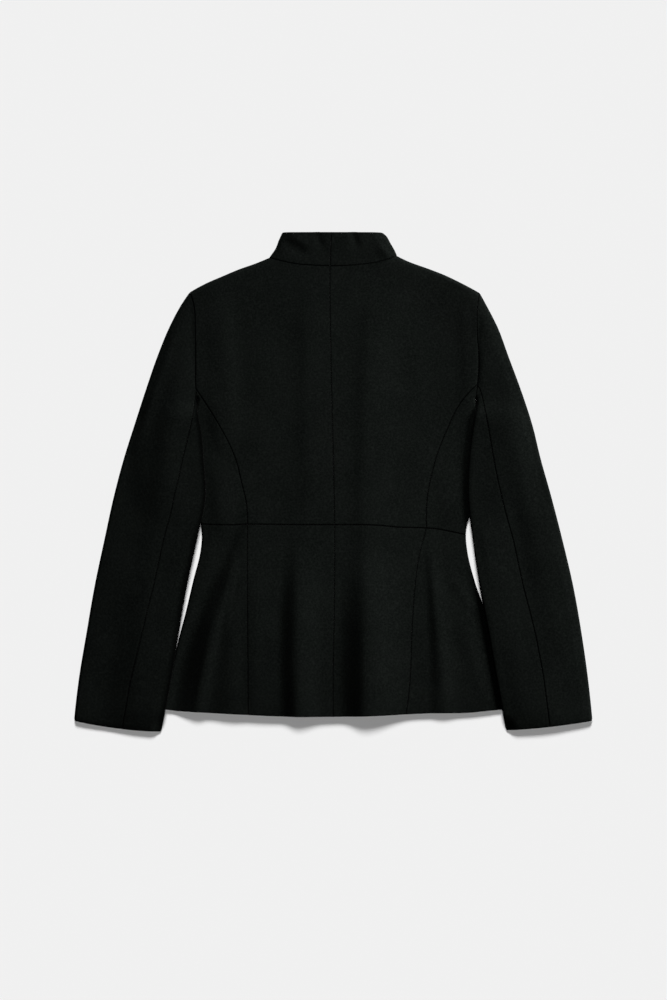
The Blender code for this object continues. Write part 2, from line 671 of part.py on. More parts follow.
def body(side, neck_back, neck_front, arm_back, arm_front, princess_at):
    """Back centre, back side and front of the bodice, and the peplum pieces below them."""
    sign = SIGN[side]
    shoulder = side_line(SHOULDER, side).at(np.linspace(0, 1, SHOULDER_COLUMNS + 1))
    princess_points = np.vstack([side_points(PRINCESS, side), arm_back[princess_at]])
    princess = Line(princess_points).at(np.linspace(0, 1, PRINCESS_ROWS + 1))
    side_fold = SIDE_LINES[side]
    at_waist = side_fold.share_at_height(WAIST["y"][0 if sign < 0 else -1])
    upper_side = side_fold.at(at_waist * (1 - np.array(SIDE_ROWS)))
    lower_side = side_fold.at(np.linspace(at_waist, 1, PEPLUM_ROWS + 1))
    upper_side[0] = lower_side[0] = on_seam(WAIST, upper_side[:1, 0])[0]

    # Back centre
    top = np.vstack([neck_back, shoulder[1:]])
    outer = np.vstack([princess, arm_back[princess_at - 1 :: -1]])
    rise = (outer[:, 1] - outer[0, 1]) / (outer[-1, 1] - outer[0, 1])
    middle = back_seam_points(WAIST_MIDDLE[1] + rise * (neck_back[0, 1] - WAIST_MIDDLE[1]))
    even = np.linspace(0, 1, len(top))
    waist = on_seam(WAIST, middle[0, 0] + (outer[0, 0] - middle[0, 0]) * even)
    centre = patch(waist, top, middle, outer, blended_shares(even, shares_of(top), middle[:, 1]))
    layers = laid(centre, BODY, 1)
    neck_end = len(neck_back)
    part_seam(layers, "first")
    part_seam(layers, "start")
    part_seam(layers, "end")
    part_seam(layers, "last", slice(0, neck_end))
    part_fold(layers, "last", 1, slice(neck_end - 1, None))
    solid(f"back_centre_{side}", layers)

    # Back side, up to the stretch of armhole between the princess seam and the armpit
    radius = body_height(upper_side) / 2
    marks = [(1, SIDE_COLUMNS)]
    shares = np.array(
        [stations(w, marks, end_radius=r) for w, r in zip(widths(princess, upper_side), radius)]
    )
    arm_top = arm_back[princess_at:]
    shares[-1] = shares_of(arm_top)
    side_waist = on_seam(WAIST, princess[0, 0] + (upper_side[0, 0] - princess[0, 0]) * shares[0])
    layers = laid(patch(side_waist, arm_top, princess, upper_side, shares), BODY, 1)
    for edge in ("first", "start", "last"):
        part_seam(layers, edge)
    part_fold(layers, "end", 1)
    solid(f"back_side_{side}", layers)

    # Front, one piece from the neck to the waist, under both
    top = np.vstack([neck_front, shoulder[1:]])
    outer = np.vstack([upper_side, arm_front[-2::-1]])
    rows = len(upper_side)
    rise = (outer[:, 1] - outer[0, 1]) / (outer[-1, 1] - outer[0, 1])
    inner_x = sign * FRONT_GAP / 2
    front_waist_y = on_seam(WAIST, np.array([inner_x]))[0, 1]
    middle_y = front_waist_y + rise * (top[0, 1] - front_waist_y)
    middle = np.column_stack([np.full(len(outer), inner_x), middle_y])
    fold_marks = [(1, len(top) - len(FOLD_ANGLES))]
    lower = np.array(
        [
            stations(w, fold_marks, end_radius=r)
            for w, r in zip(widths(middle[:rows], outer[:rows]), radius)
        ]
    )
    upper = blended_shares(lower[-1], shares_of(top), outer[rows - 1 :, 1])[1:]
    shares = np.vstack([lower, upper])
    front_waist = on_seam(WAIST, inner_x + (outer[0, 0] - inner_x) * shares[0])
    above_pit = np.clip((np.arange(len(outer)) - rows + 1) / (len(outer) - rows), 0, 1) ** 2
    as_waist = np.clip(1 - rise * WAIST_HOLD, 0, 1)
    holds = as_waist, above_pit
    layers = laid(patch(front_waist, top, middle, outer, shares, holds), BODY, -1)
    neck_end = len(neck_front)
    part_seam(layers, "first")
    part_seam(layers, "last", slice(0, neck_end))
    part_seam(layers, "end", slice(rows - 1, None))
    part_fold(layers, "last", -1, slice(neck_end - 1, None))
    part_fold(layers, "end", -1, slice(0, rows))
    solid(f"front_{side}", layers)

    # Peplum, from the waist down
    seam = side_line(PEPLUM_SEAM, side).at(np.linspace(0, 1, PEPLUM_ROWS + 1))
    seam[0], seam[-1] = princess[0], on_seam(HEM, seam[-1:, 0])[0]
    middle = back_seam_points(np.linspace(WAIST_MIDDLE[1], HEM["y"].min(), PEPLUM_ROWS + 1))
    middle[0] = centre[0, 0]
    middle[-1] = on_seam(HEM, middle[-1:, 0])[0]
    hem = on_seam(HEM, middle[-1, 0] + (seam[-1, 0] - middle[-1, 0]) * even)
    layers = laid(patch(waist, hem, middle, seam, np.tile(even, (PEPLUM_ROWS + 1, 1))), PEPLUM, 1)
    for edge in ("first", "start", "end"):
        part_seam(layers, edge)
    solid(f"peplum_back_centre_{side}", layers)

    lower_side[-1] = on_seam(HEM, lower_side[-1:, 0])[0]
    radius = body_height(lower_side) / 2
    shares = np.array(
        [stations(w, marks, end_radius=r) for w, r in zip(widths(seam, lower_side), radius)]
    )
    hem = on_seam(HEM, seam[-1, 0] + (lower_side[-1, 0] - seam[-1, 0]) * shares[-1])
    layers = laid(patch(side_waist, hem, seam, lower_side, shares), PEPLUM, 1)
    for edge in ("first", "start"):
        part_seam(layers, edge)
    part_fold(layers, "end", 1)
    solid(f"peplum_back_side_{side}", layers)

    down = np.linspace(front_waist_y, FRONT_HEM, PEPLUM_ROWS + 1)
    middle = np.column_stack([np.full(len(down), inner_x), down])
    shares = np.array(
        [stations(w, fold_marks, end_radius=r) for w, r in zip(widths(middle, lower_side), radius)]
    )
    hem = middle[-1] + (lower_side[-1] - middle[-1]) * shares[-1][:, None]
    layers = laid(patch(front_waist, hem, middle, lower_side, shares), BODY, -1)
    part_seam(layers, "first")
    part_fold(layers, "end", -1)
    solid(f"peplum_front_{side}", layers)


def clear_scene():
    for thing in list(bpy.data.objects):
        bpy.data.objects.remove(thing, do_unlink=True)


clear_scene()
PIECES = bpy.data.collections.new(JACKET)
bpy.context.scene.collection.children.link(PIECES)

# Folded edges: the upper one from the collar over the shoulder down the sleeve, the inner edge of
# the sleeve, and the side of the body. The last two start at the armpit.
PIT_NORMAL = (0.0, -1.0)
SIDE_LINES = {
    side: side_line(BODY_SIDE, side, turn=SIGN[side] * -1, first_normal=PIT_NORMAL) for side in SIGN
}
OUTER_LINES, INNER_LINES, UPPER_EDGES = {}, {}, {}
for side, sign in SIGN.items():
    columns = SLEEVE[side]
    outer_points = np.column_stack([sign * columns["outer"], columns["outer_y"]])
    inner_points = np.column_stack([sign * columns["inner"], columns["inner_y"]])
    OUTER_LINES[side] = Line(outer_points, turn=sign)
    INNER_LINES[side] = Line(inner_points, turn=-sign)
    INNER_LINES[side].normals[-1] = PIT_NORMAL
    UPPER_EDGES[side] = joined(
        OUTER_LINES[side],
        Line(side_points(SHOULDER, side)[::-1], turn=sign),
        side_line(COLLAR_SIDE, side, turn=sign),
    )

BODY_EDGES = [*UPPER_EDGES.values(), *SIDE_LINES.values()]
BODY = Cloth(BODY_EDGES, body_height, flat, flat, WALL)
PEPLUM = BODY._replace(wave=flute_rise)
SLEEVE_CLOTH = {
    side: Cloth([UPPER_EDGES[side], INNER_LINES[side]], sleeve_height, lift_over_body(side), flat, WALL)
    for side in SIGN
}

for side in SIGN:
    neck_back, neck_front = collar(side)
    arm_back, arm_front, princess_at = sleeve(side)
    body(side, neck_back, neck_front, arm_back, arm_front, princess_at)
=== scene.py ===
"""Peplum jacket in black wool crepe, laid flat with its back up: the fine cloth over the solids.

Sizes and tables are in millimetres, +Y towards the collar, +X to the right as seen from above and
Z up from the surface that the jacket lies on. The lines and flutes repeat those of the solids.
"""

import math
from collections import namedtuple

import bmesh
import bpy
import numpy as np
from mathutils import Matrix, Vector


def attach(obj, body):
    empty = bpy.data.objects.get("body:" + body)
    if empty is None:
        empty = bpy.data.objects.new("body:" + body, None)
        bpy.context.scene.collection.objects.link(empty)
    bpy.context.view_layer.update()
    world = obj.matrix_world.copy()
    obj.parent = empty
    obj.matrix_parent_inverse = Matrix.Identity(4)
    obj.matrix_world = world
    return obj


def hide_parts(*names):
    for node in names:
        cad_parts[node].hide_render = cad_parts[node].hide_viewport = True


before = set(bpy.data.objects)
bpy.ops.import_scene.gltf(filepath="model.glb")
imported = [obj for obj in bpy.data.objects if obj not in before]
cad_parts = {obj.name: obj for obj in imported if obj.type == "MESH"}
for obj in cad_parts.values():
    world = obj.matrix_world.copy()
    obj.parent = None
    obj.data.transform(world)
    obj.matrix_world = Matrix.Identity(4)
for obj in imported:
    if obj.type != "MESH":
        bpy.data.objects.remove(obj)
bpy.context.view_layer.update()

MM = 0.001
SIGN = {"left": -1.0, "right": 1.0}

# Cloth: wool crepe with its lining, and a firmer collar
WALL = 1.8
COLLAR_WALL = 2.4
FRONT_GAP = 0.6

# More loft where the sleeves are set in: how much, how far out it starts and how high up
SLEEVE_BULK = 2.0
BULK_FROM, BULK_OVER = 120.0, 65.0
BULK_ABOVE, BULK_FADE = 55.0, 55.0
# A sleeve over the side of the body: the room below it, how far it stays level and then slopes off
# beyond that side, how it comes up from the armpit, and how thin it is pressed at its inner fold
LAY_CLEARANCE = 0.7
LIFT_MARGIN, LIFT_RAMP, TOP_RAMP = 7.0, 20.0, 80.0
PIT_FADE, PIT_CLEAR = 26.0, 1.0
PRESSED, PRESSED_OVER = 0.55, {"left": 150.0, "right": 80.0}
# Distance from a folded edge over which flutes and soft folds come in
WAVE_RAMP = 14.0
# Share of a flute's rise that is there early, and the share of its length by which it is
EARLY_RISE, EARLY_SHARE = 0.75, 0.5
# Share of a soft fold's length over which it dies away round each end
FOLD_FADE = 0.6

# Spacing of the mesh: round a fold, beside a seam and elsewhere
FOLD_ANGLES = np.radians(np.arange(0, 91, 11.25))
FOLD_SLANT = 1.25
BESIDE_SEAM = np.array([0, 0.4, 0.8, 1.3, 1.9, 2.9, 4.6])
PLAIN_EDGE = np.zeros(1)
LINE_STEP = 2.0
ON_EDGE = 0.02
SLOPE_STEP = 0.5
CHUNK = 2000
# How long rows keep to the cuff and the armhole, in sections, and how soon they leave the waist
CUFF_HOLD, ARM_HOLD, WAIST_HOLD = 3.0, 4.0, 3.0
# A stretch shorter than this many times its close steps has them drawn together
END_ROOM = 2.2
# Even steps between the close ones
STEPS = {
    "collar_up": 10,
    "collar": 22,
    "neck": 20,
    "shoulder": 24,
    "princess": 46,
    "armhole": 34,
    "side_up": 40,
    "side": 18,
    "front_neck": 18,
    "front_shoulder": 20,
    "front_armhole": 24,
    "peplum_down": 58,
    "peplum_centre": 36,
    "peplum_side": 28,
    "peplum_front": 50,
}

# Relief: how far cloth sinks into a seam, and how wide that hollow is on each side
SEAM_DIP, SEAM_REACH = 0.5, 1.8
FOLD_SEAM_DIP = 0.2
# A sewn line: half its width on the outer side, and how far each piece reaches over it inside
SEAM_GROOVE, SEAM_TUCK, FOLD_GROOVE = 0.3, 0.12, 0.05
# Painted shade in a sewn line: full up to the first distance, none from the second on
SHADE_FULL, SHADE_REACH = 0.4, 1.3
# Painted shade along the pressed inner fold of each sleeve: its strength on each side, and its
# reach
PAINTED_CREASE_SHADE, CREASE_REACH = {"left": 1.0, "right": 0.7}, 7.0
# How far in a free edge is rounded, and the angle from which an edge is sharp
TURNED_EDGE = 0.9
EDGE_ANGLE = math.radians(50)


def table(names, *rows):
    """Columns by name, from a row for each station."""
    return dict(zip(names.split(), np.array(rows, float).T))


# Both layers together, from the peplum's hem up to the collar's top edge
THICKNESS = table(
    "y height",
    (-310, 6.8),
    (-130, 6.4),
    (-57, 6.0),
    (0, 6.3),
    (114, 7.0),
    (200, 7.6),
    (256, 9.0),
    (300, 10.4),
    (337, 11.0),
)
# Middle seam of the back, collar and peplum
COLLAR_TOP_Y, NECK_Y = 336.5, 291.3
WAIST_MIDDLE = (1.5, -57.4)
BACK_SEAM = table(
    "x y",
    (-2.5, COLLAR_TOP_Y),
    (-4.5, NECK_Y),
    (-4.0, 207.0),
    (0.5, 3.0),
    WAIST_MIDDLE,
    (1.3, -153.5),
    (-0.5, -265.5),
    (-0.5, -316.0),
)
# Waist seam and hem, seen from the back, left to right
WAIST = table(
    "x y",
    (-179.2, -56.4),
    (-145, -57.6),
    (-116, -56.9),
    (-47.5, -57.4),
    WAIST_MIDDLE,
    (64.5, -58.5),
    (86.5, -60.6),
    (125.6, -61.9),
    (139.5, -63.0),
    (157.5, -66.4),
    (179.2, -71.0),
)
HEM = table(
    "x y",
    (-229, -306),
    (-214.5, -308),
    (-190, -309.5),
    (-126, -313),
    (-85.5, -315),
    (1.5, -316),
    (64.5, -314.3),
    (130.5, -311.5),
    (191, -310.2),
    (206.5, -308.5),
    (242.5, -306),
)
FRONT_HEM = -303.0

# Lines on each side, with the distance out from the middle and the height up the jacket
LINE = "left left_y right right_y"
COLLAR_SIDE = table(
    LINE,
    (86.5, 302.5, 86.0, 305.0),
    (83.5, 306.5, 83.5, 311.0),
    (77.5, 315.5, 77.0, 322.5),
    (73.5, 326.0, 71.5, 332.0),
    (68.5, 336.5, 66.0, 336.3),
)
NECK = table(
    LINE,
    (4.5, 291.3, -4.5, 291.3),
    (27.5, 292.0, 15.0, 291.4),
    (47.0, 293.6, 38.0, 293.2),
    (66.0, 297.0, 64.0, 297.2),
    (86.5, 302.5, 86.0, 305.0),
)
FRONT_NECK = table(
    LINE,
    (0.3, 226.0, 0.3, 226.0),
    (29.0, 235.0, 29.0, 235.5),
    (58.5, 261.0, 58.5, 262.5),
    (86.5, 302.5, 86.0, 305.0),
)
FRONT_COLLAR = table(
    LINE,
    (0.3, 274.5, 0.3, 274.5),
    (23.5, 284.0, 22.5, 284.0),
    (45.0, 305.5, 43.5, 305.5),
    (68.5, 336.5, 66.0, 336.3),
)
SHOULDER = table(
    LINE,
    (86.5, 302.5, 86.0, 305.0),
    (106.0, 294.5, 97.0, 299.5),
    (126.0, 287.5, 130.5, 287.0),
    (151.0, 277.0, 148.5, 280.0),
    (171.0, 268.3, 164.5, 272.5),
    (193.5, 256.0, 197.5, 255.0),
)
ARMHOLE = table(
    LINE,
    (193.5, 256.0, 197.5, 255.0),
    (189.3, 244.0, 194.8, 241.0),
    (186.0, 197.5, 194.2, 197.5),
    (185.7, 160.0, 196.0, 164.0),
    (185.7, 129.0, 194.8, 138.0),
    (183.3, 113.7, 192.0, 113.7),
)
FRONT_ARMHOLE = table(
    LINE,
    (193.5, 256.0, 197.5, 255.0),
    (186.5, 240.0, 191.5, 239.0),
    (179.5, 205.0, 187.5, 205.0),
    (179.0, 170.0, 187.5, 170.0),
    (183.0, 140.0, 192.0, 140.0),
    (184.6, 125.0, 193.6, 125.0),
    (183.3, 113.7, 192.0, 113.7),
)
# Princess seam of the back from the waist up, short of the armhole point that it runs into
PRINCESS = table(
    LINE,
    (116.0, -56.9, 125.6, -61.9),
    (117.0, -30.5, 126.0, -26.0),
    (124.5, 3.0, 130.6, 3.0),
    (129.8, 25.0, 134.8, 20.0),
    (139.0, 49.0, 140.8, 40.0),
    (155.0, 78.5, 151.0, 65.5),
    (171.0, 104.5, 174.0, 110.5),
)
PEPLUM_SEAM = table(
    LINE,
    (116.0, -56.9, 125.6, -61.9),
    (116.0, -100.0, 114.5, -105.0),
    (115.8, -153.5, 109.0, -149.5),
    (115.5, -210.0, 105.8, -198.5),
    (115.0, -265.0, 103.3, -265.5),
    (114.8, -313.6, 98.0, -313.0),
)
# Folded side of the body, from the armpit down to the hem, with the dip that clears the sleeve
BODY_SIDE = table(
    LINE,
    (183.3, 113.7, 192.0, 113.7),
    (184.0, 107.0, 192.6, 107.0),
    (185.4, 100.0, 193.8, 100.0),
    (187.6, 93.0, 195.6, 93.0),
    (193.0, 80.0, 200.0, 80.0),
    (201.0, 57.0, 207.0, 57.0),
    (203.5, 30.0, 209.5, 30.0),
    (198.5, -4.0, 204.5, -4.0),
    (188.0, -35.0, 191.0, -35.0),
    (179.2, -56.4, 180.6, -56.4),
    (177.4, -72.0, 179.0, -72.0),
    (179.0, -92.0, 180.8, -92.0),
    (188.8, -132.0, 190.5, -132.0),
    (199.0, -175.0, 205.5, -175.0),
    (209.0, -213.0, 217.0, -213.0),
    (218.5, -253.5, 229.0, -253.5),
    (229.0, -306.0, 242.5, -306.0),
)
# Sleeve sections from the cuff up to the armhole: outer fold, inner fold, and the share of the
# width, from the outer fold, at which the hind seam runs
SECTION = "outer outer_y inner inner_y hind"
SLEEVE = {
    "left": table(
        SECTION,
        (349.6, -321.6, 232.3, -336.5, 0.553),
        (342.6, -261.6, 219.0, -269.5, 0.56),
        (333.1, -204.9, 209.2, -208.9, 0.60),
        (321.9, -140.1, 197.4, -140.1, 0.64),
        (308.8, -78.0, 183.9, -78.0, 0.64),
        (295.3, -16.5, 171.6, -14.5, 0.66),
        (281.8, 34.1, 174.3, 27.3, 0.73),
        (269.0, 74.6, 176.0, 53.0, 0.78),
        (254.1, 120.5, 178.0, 70.5, 0.825),
        (237.9, 167.7, 181.2, 86.7, 0.88),
        (220.4, 210.3, 183.2, 100.2, 0.915),
        (206.2, 237.3, 183.7, 108.3, 0.93),
        (193.5, 256.0, 183.3, 113.7, 0.94),
    ),
    "right": table(
        SECTION,
        (349.6, -321.6, 233.1, -334.6, 0.498),
        (343.2, -261.6, 219.2, -261.6, 0.486),
        (335.1, -204.9, 209.3, -204.9, 0.50),
        (323.7, -140.1, 197.2, -140.1, 0.537),
        (309.2, -78.0, 188.1, -78.0, 0.55),
        (293.3, -16.5, 181.1, -15.9, 0.60),
        (279.1, 34.1, 182.7, 32.7, 0.658),
        (269.3, 74.6, 185.3, 55.7, 0.696),
        (254.5, 120.5, 187.6, 73.2, 0.72),
        (237.0, 167.7, 190.4, 89.4, 0.75),
        (221.1, 210.3, 192.1, 101.6, 0.80),
        (207.2, 237.3, 192.5, 109.0, 0.85),
        (197.5, 255.0, 192.0, 113.7, 0.894),
    ),
}
SLEEVE_ROWS = (0, 0.2, 0.45, 1, 2, 3, 4, 4.5, 5, 5.5, 6, 7, 8, 9, 10, 12)
ROWS_BETWEEN = 4
SECTION_LENGTH, SECTION_GAP = 26.0, 0.1
SIDE_ROWS = (0, 0.14, 0.28, 0.42, 0.56, 0.7, 0.8, 0.88, 0.95, 1)
HIND_STEPS = [22, 10]
FORE_STEPS = [24, 5]
CUFF_BOW = {"left": 3.0, "right": 1.7}
PRINCESS_TOP = {"left": 0.915, "right": 0.87}
FORE_SEAM = table("section share", (0, 0.80), (6, 0.85), (12, 0.96))

# Crests and troughs of the peplum's flutes, left to right: X at the waist, halfway and at the hem,
# rise above the flat at the hem, and how far down the peplum it starts
FLUTES = table(
    "waist middle hem rise start",
    (-172, -198, -226, 0.0, 0.0),
    (-123, -156, -184, 5.5, 0.05),
    (-119, -146, -166, 3.0, 0.05),
    (-113, -136, -138, 4.2, 0.30),
    (-106, -118, -112, 2.2, 0.30),
    (-66, -72, -72, 3.2, 0.30),
    (-38, -53, -50, 8.0, 0.10),
    (-12, -12, -14, 3.2, 0.15),
    (8, 8, 10, 3.0, 0.15),
    (39, 40, 40, 9.5, 0.08),
    (98, 104, 108, 1.6, 0.15),
    (120, 127, 130, 1.8, 0.15),
    (128, 138, 144, 4.0, 0.10),
    (150, 166, 176, 1.4, 0.10),
    (174, 198, 236, 0.0, 0.0),
)

# Soft folds in the cloth that lies on top. Each runs down the jacket from one end to the other,
# with its width to the left and right of the line, and its height (a trough's is below 0)
FOLD = "x0 y0 x1 y1 left right height"
BODICE_FOLDS = [
    (28, 330, 34, -330, 110, 80, 3.0),
    (-36, 235, -33, -40, 13, 25, 1.7),
    (51, 235, 40, -48, 14, 40, 2.6),
    (-152, 245, -139, 50, 22, 15, 2.2),
    (-164, 120, -150, 40, 10, 12, 0.9),
    (200, 262, 203, 130, 16, 22, 2.4),
    (177, 240, 181, 110, 8, 9, 1.1),
    (-192, 248, -186, 120, 3, 3, -0.7),
    (197, 246, 195, 120, 3, 3, -0.9),
    (118, 200, 112, 20, 18, 15, 0.7),
    (-100, 210, -96, 20, 22, 18, 0.6),
    (-158, 25, -150, -62, 13, 20, 2.4),
    (152, 10, 160, -50, 14, 16, 0.8),
]
PEPLUM_FOLDS = [
    (-104, -80, -112, -340, 70, 42, 3.6),
    (-46, -85, -45, -340, 12, 28, 3.2),
    (46, -80, 47, -340, 16, 36, 4.0),
    (-129, -60, -166, -165, 12, 9, -2.8),
    (-157, -120, -209, -290, 15, 13, -5.0),
    (-200, -262, -216, -316, 12, 12, -0.8),
    (-160, -150, -186, -316, 6, 9, 1.6),
    (131, -88, 151, -300, 7, 8, 1.2),
    (160, -126, 187, -170, 8, 7, 0.8),
    (178, -190, 204, -300, 10, 12, 0.9),
    (-104, -120, -106, -300, 9, 10, 0.7),
    (70, -110, 76, -290, 16, 14, -0.5),
]
COLLAR_FOLDS = [
    (-90, 340, 90, 340, 30, 30, 2.2),
    (-66, 324, -38, 310, 7, 5, -2.0),
    (-54, 331, -34, 320, 5, 6, 0.7),
    (-22, 336, -15, 316, 6, 4, -1.2),
    (27, 336, 33, 316, 7, 4, -1.6),
    (62, 318, 78, 304, 7, 5, 1.8),
]
SLEEVE_FOLDS = [
    (-212, 206, -262, 66, 6, 9, 1.6),
    (-250, -60, -276, -330, 50, 22, 2.2),
    (290, -60, 310, -330, 40, 40, 2.6),
    (-203, 190, -240, -55, 26, 20, 2.4),
    (-226, 150, -252, 20, 14, 14, -1.0),
    (-250, 60, -262, -20, 12, 10, 0.8),
    (-236, -40, -268, -262, 24, 24, 1.3),
    (-190, -40, -214, -170, 10, 8, -0.8),
    (-292, -160, -318, -300, 18, 20, -0.9),
    (222, 205, 250, 20, 18, 16, 1.6),
    (252, 40, 268, -70, 14, 15, 1.2),
    (238, -20, 262, -150, 14, 12, -0.7),
    (272, -50, 292, -210, 16, 18, 0.9),
    (296, -170, 322, -300, 14, 14, 0.7),
    (244, -200, 252, -310, 13, 12, 0.7),
]
TOP_FOLDS = table(FOLD, *BODICE_FOLDS, *PEPLUM_FOLDS, *COLLAR_FOLDS, *SLEEVE_FOLDS)
# Shallow rucks on the side that the jacket rests on
UNDER_FOLDS = table(
    FOLD,
    (-120, 150, -105, 20, 16, 12, 0.9),
    (-52, 40, -60, -50, 13, 10, 0.7),
    (70, 170, 92, 30, 17, 14, 1.0),
    (128, 10, 120, -52, 12, 9, 0.6),
    (-160, -90, -190, -290, 17, 12, 1.1),
    (-70, -110, -84, -300, 20, 15, 1.2),
    (40, -100, 52, -300, 20, 14, 1.1),
    (130, -95, 170, -292, 18, 15, 1.2),
    (-262, 60, -300, -200, 14, 11, 0.8),
    (262, 60, 296, -180, 14, 10, 0.8),
)

Cloth = namedtuple("Cloth", "edges height base wave")
Edge = namedtuple("Edge", "points normals")
Pattern = namedtuple("Pattern", "width length share rests_on seams fold_seams free")

# How tightly a seam is drawn in
FINE, FIRM, DEEP = 0.6, 0.8, 1.0
# What each piece rests on
FLOOR, FRONTS = ["floor"], ["front_left", "front_right"]
PEPLUM_FRONTS = ["peplum_front_left", "peplum_front_right"]
# Each piece as cut: width, length and the share of that rectangle that its outline fills. Then what
# it rests on, its sewn borders, the borders that are sewn along a fold, and the free ones
PATTERNS = {
    "collar": Pattern(212, 49, 0.75, FLOOR, {"first": DEEP, "start": FINE}, {}, ("last", "end")),
    "top_sleeve": Pattern(
        273, 601, 0.54, FLOOR, {"last": DEEP, "start": FIRM, "end": FIRM}, {}, ("first",)
    ),
    "under_sleeve": Pattern(
        92, 472, 0.74, FLOOR, {"last": DEEP, "start": FIRM, "end": FIRM}, {}, ("first",)
    ),
    "back_centre": Pattern(
        210, 368, 0.75, FRONTS, {"first": DEEP, "start": FINE, "end": FIRM}, {"last": FINE}, ()
    ),
    "back_side": Pattern(
        78, 205, 0.66, FRONTS, {"first": DEEP, "start": FIRM, "last": DEEP}, {"end": FINE}, ()
    ),
    "front": Pattern(241, 368, 0.71, FLOOR, {"first": DEEP}, {"last": FINE, "end": FINE}, ()),
    "peplum_back_centre": Pattern(
        121, 259, 0.92, PEPLUM_FRONTS, {"first": DEEP, "start": FINE, "end": FINE}, {}, ("last",)
    ),
    "peplum_back_side": Pattern(
        133, 255, 0.71, PEPLUM_FRONTS, {"first": DEEP, "start": FINE}, {"end": FINE}, ("last",)
    ),
    "peplum_front": Pattern(237, 252, 0.85, FLOOR, {"first": DEEP}, {"end": FINE}, ("last",)),
}

# Finish: pebbles of the crepe, its fibres and its slow changes of tone, in metres, then its tones,
# and the colour of the shade painted into the seams and the sleeves' inner folds
PEBBLE, FIBRE, CLOUD = 0.0024, 0.0016, 0.045
FIBRE_DETAIL, CLOUD_DETAIL = 3.0, 2.0
PEBBLE_STRENGTH, PEBBLE_DEPTH = 0.35, 0.0003
TONE_SPREAD, TONE_SHIFT, CLOUD_DRIFT = 1.2, 0.05, 0.3
TONE_ENDS = (0.1, 0.9)
WOOL_DARK, WOOL_LIGHT, PAINTED_SHADE_COLOUR = "#070908", "#191c1a", "#010101"
ROUGHNESS, SHEEN, SHEEN_ROUGHNESS = 0.9, 0.03, 0.4
PAPER, SKY = "#f0f0f0", "#ffffff"
# Studio: kind, azimuth, elevation, strength and size of each light, then its distance and aim
FLOOR_LAMPS = {"floor_key": ("SUN", 0, 42, 3.36, 18), "floor_wash": ("SUN", 0, 90, 0.84, 10)}
JACKET_LAMPS = {
    "side_light": ("AREA", 74, 20, 4.8, 1.0, 3.4),
    "top_light": ("SUN", 14, 9, 3.4, 12),
    "centre_light": ("SPOT", 0, 45, 1.0, 17, 2.0, (0.02, 0.06)),
    "fill_light": ("SUN", 0, 80, 0.1, 60),
}
LAMP_DISTANCE, SPOT_RADIUS, SPOT_BLEND = 3.0, 0.1, 1.0
WORLD_STRENGTH = 0.02
FLOOR_REACH, FLOOR_Z = 12.0, -0.0002
SENSOR = 36.0
CAMERA_HEIGHT, VIEW_HEIGHT = 4.0, 1.35
VIEW_MIDDLE = (0.00034, -0.024)


def eased(value):
    """0 to 1 with a soft start and end, as value goes from 0 to 1."""
    t = np.clip(value, 0, 1)
    return t * t * (3 - 2 * t)


def between(start, end, share):
    return start + (end - start) * share


class Line:
    """A smooth line through points, read by share of its length, with its normals on one side."""

    def __init__(self, points, turn=1.0, first_normal=None):
        given = np.array(points, float)
        steps = np.linalg.norm(np.diff(given, axis=0), axis=1)
        self.knots = np.concatenate([[0], np.cumsum(steps)])
        slope = np.gradient(given, self.knots, axis=0, edge_order=1 if len(given) < 3 else 2)
        self.length = self.knots[-1]
        count = max(2, int(self.length / LINE_STEP) + 1)
        self.at_length = np.unique(np.concatenate([np.linspace(0, self.length, count), self.knots]))
        part = np.clip(np.searchsorted(self.knots, self.at_length, "right") - 1, 0, len(given) - 2)
        span = np.diff(self.knots)[part][:, None]
        t = (self.at_length[:, None] - self.knots[part][:, None]) / span
        self.points = (
            (2 * t**3 - 3 * t**2 + 1) * given[part]
            + (t**3 - 2 * t**2 + t) * span * slope[part]
            + (3 * t**2 - 2 * t**3) * given[part + 1]
            + (t**3 - t**2) * span * slope[part + 1]
        )
        along = np.gradient(self.points, self.at_length, axis=0)
        along /= np.linalg.norm(along, axis=1, keepdims=True)
        self.normals = turn * np.column_stack([along[:, 1], -along[:, 0]])
        if first_normal is not None:
            self.normals[0] = first_normal

    def at(self, shares):
        distance = np.asarray(shares, float) * self.length
        return np.column_stack([np.interp(distance, self.at_length, c) for c in self.points.T])

    def at_sections(self, sections):
        """Points at fractions of the numbered points that the line was drawn through."""
        distance = np.interp(sections, np.arange(len(self.knots)), self.knots)
        return self.at(distance / self.length)

    def share_at_height(self, y):
        order = np.argsort(self.points[:, 1])
        return float(np.interp(y, self.points[order, 1], self.at_length[order])) / self.length


def side_points(columns, side):
    return np.column_stack([SIGN[side] * columns[side], columns[side + "_y"]])


def side_line(columns, side, **settings):
    return Line(side_points(columns, side), **settings)


def joined(*lines):
    """One line of edge points from several that follow on, for measuring distance to it."""
    return Edge(
        np.concatenate([line.points for line in lines]),
        np.concatenate([line.normals for line in lines]),
    )


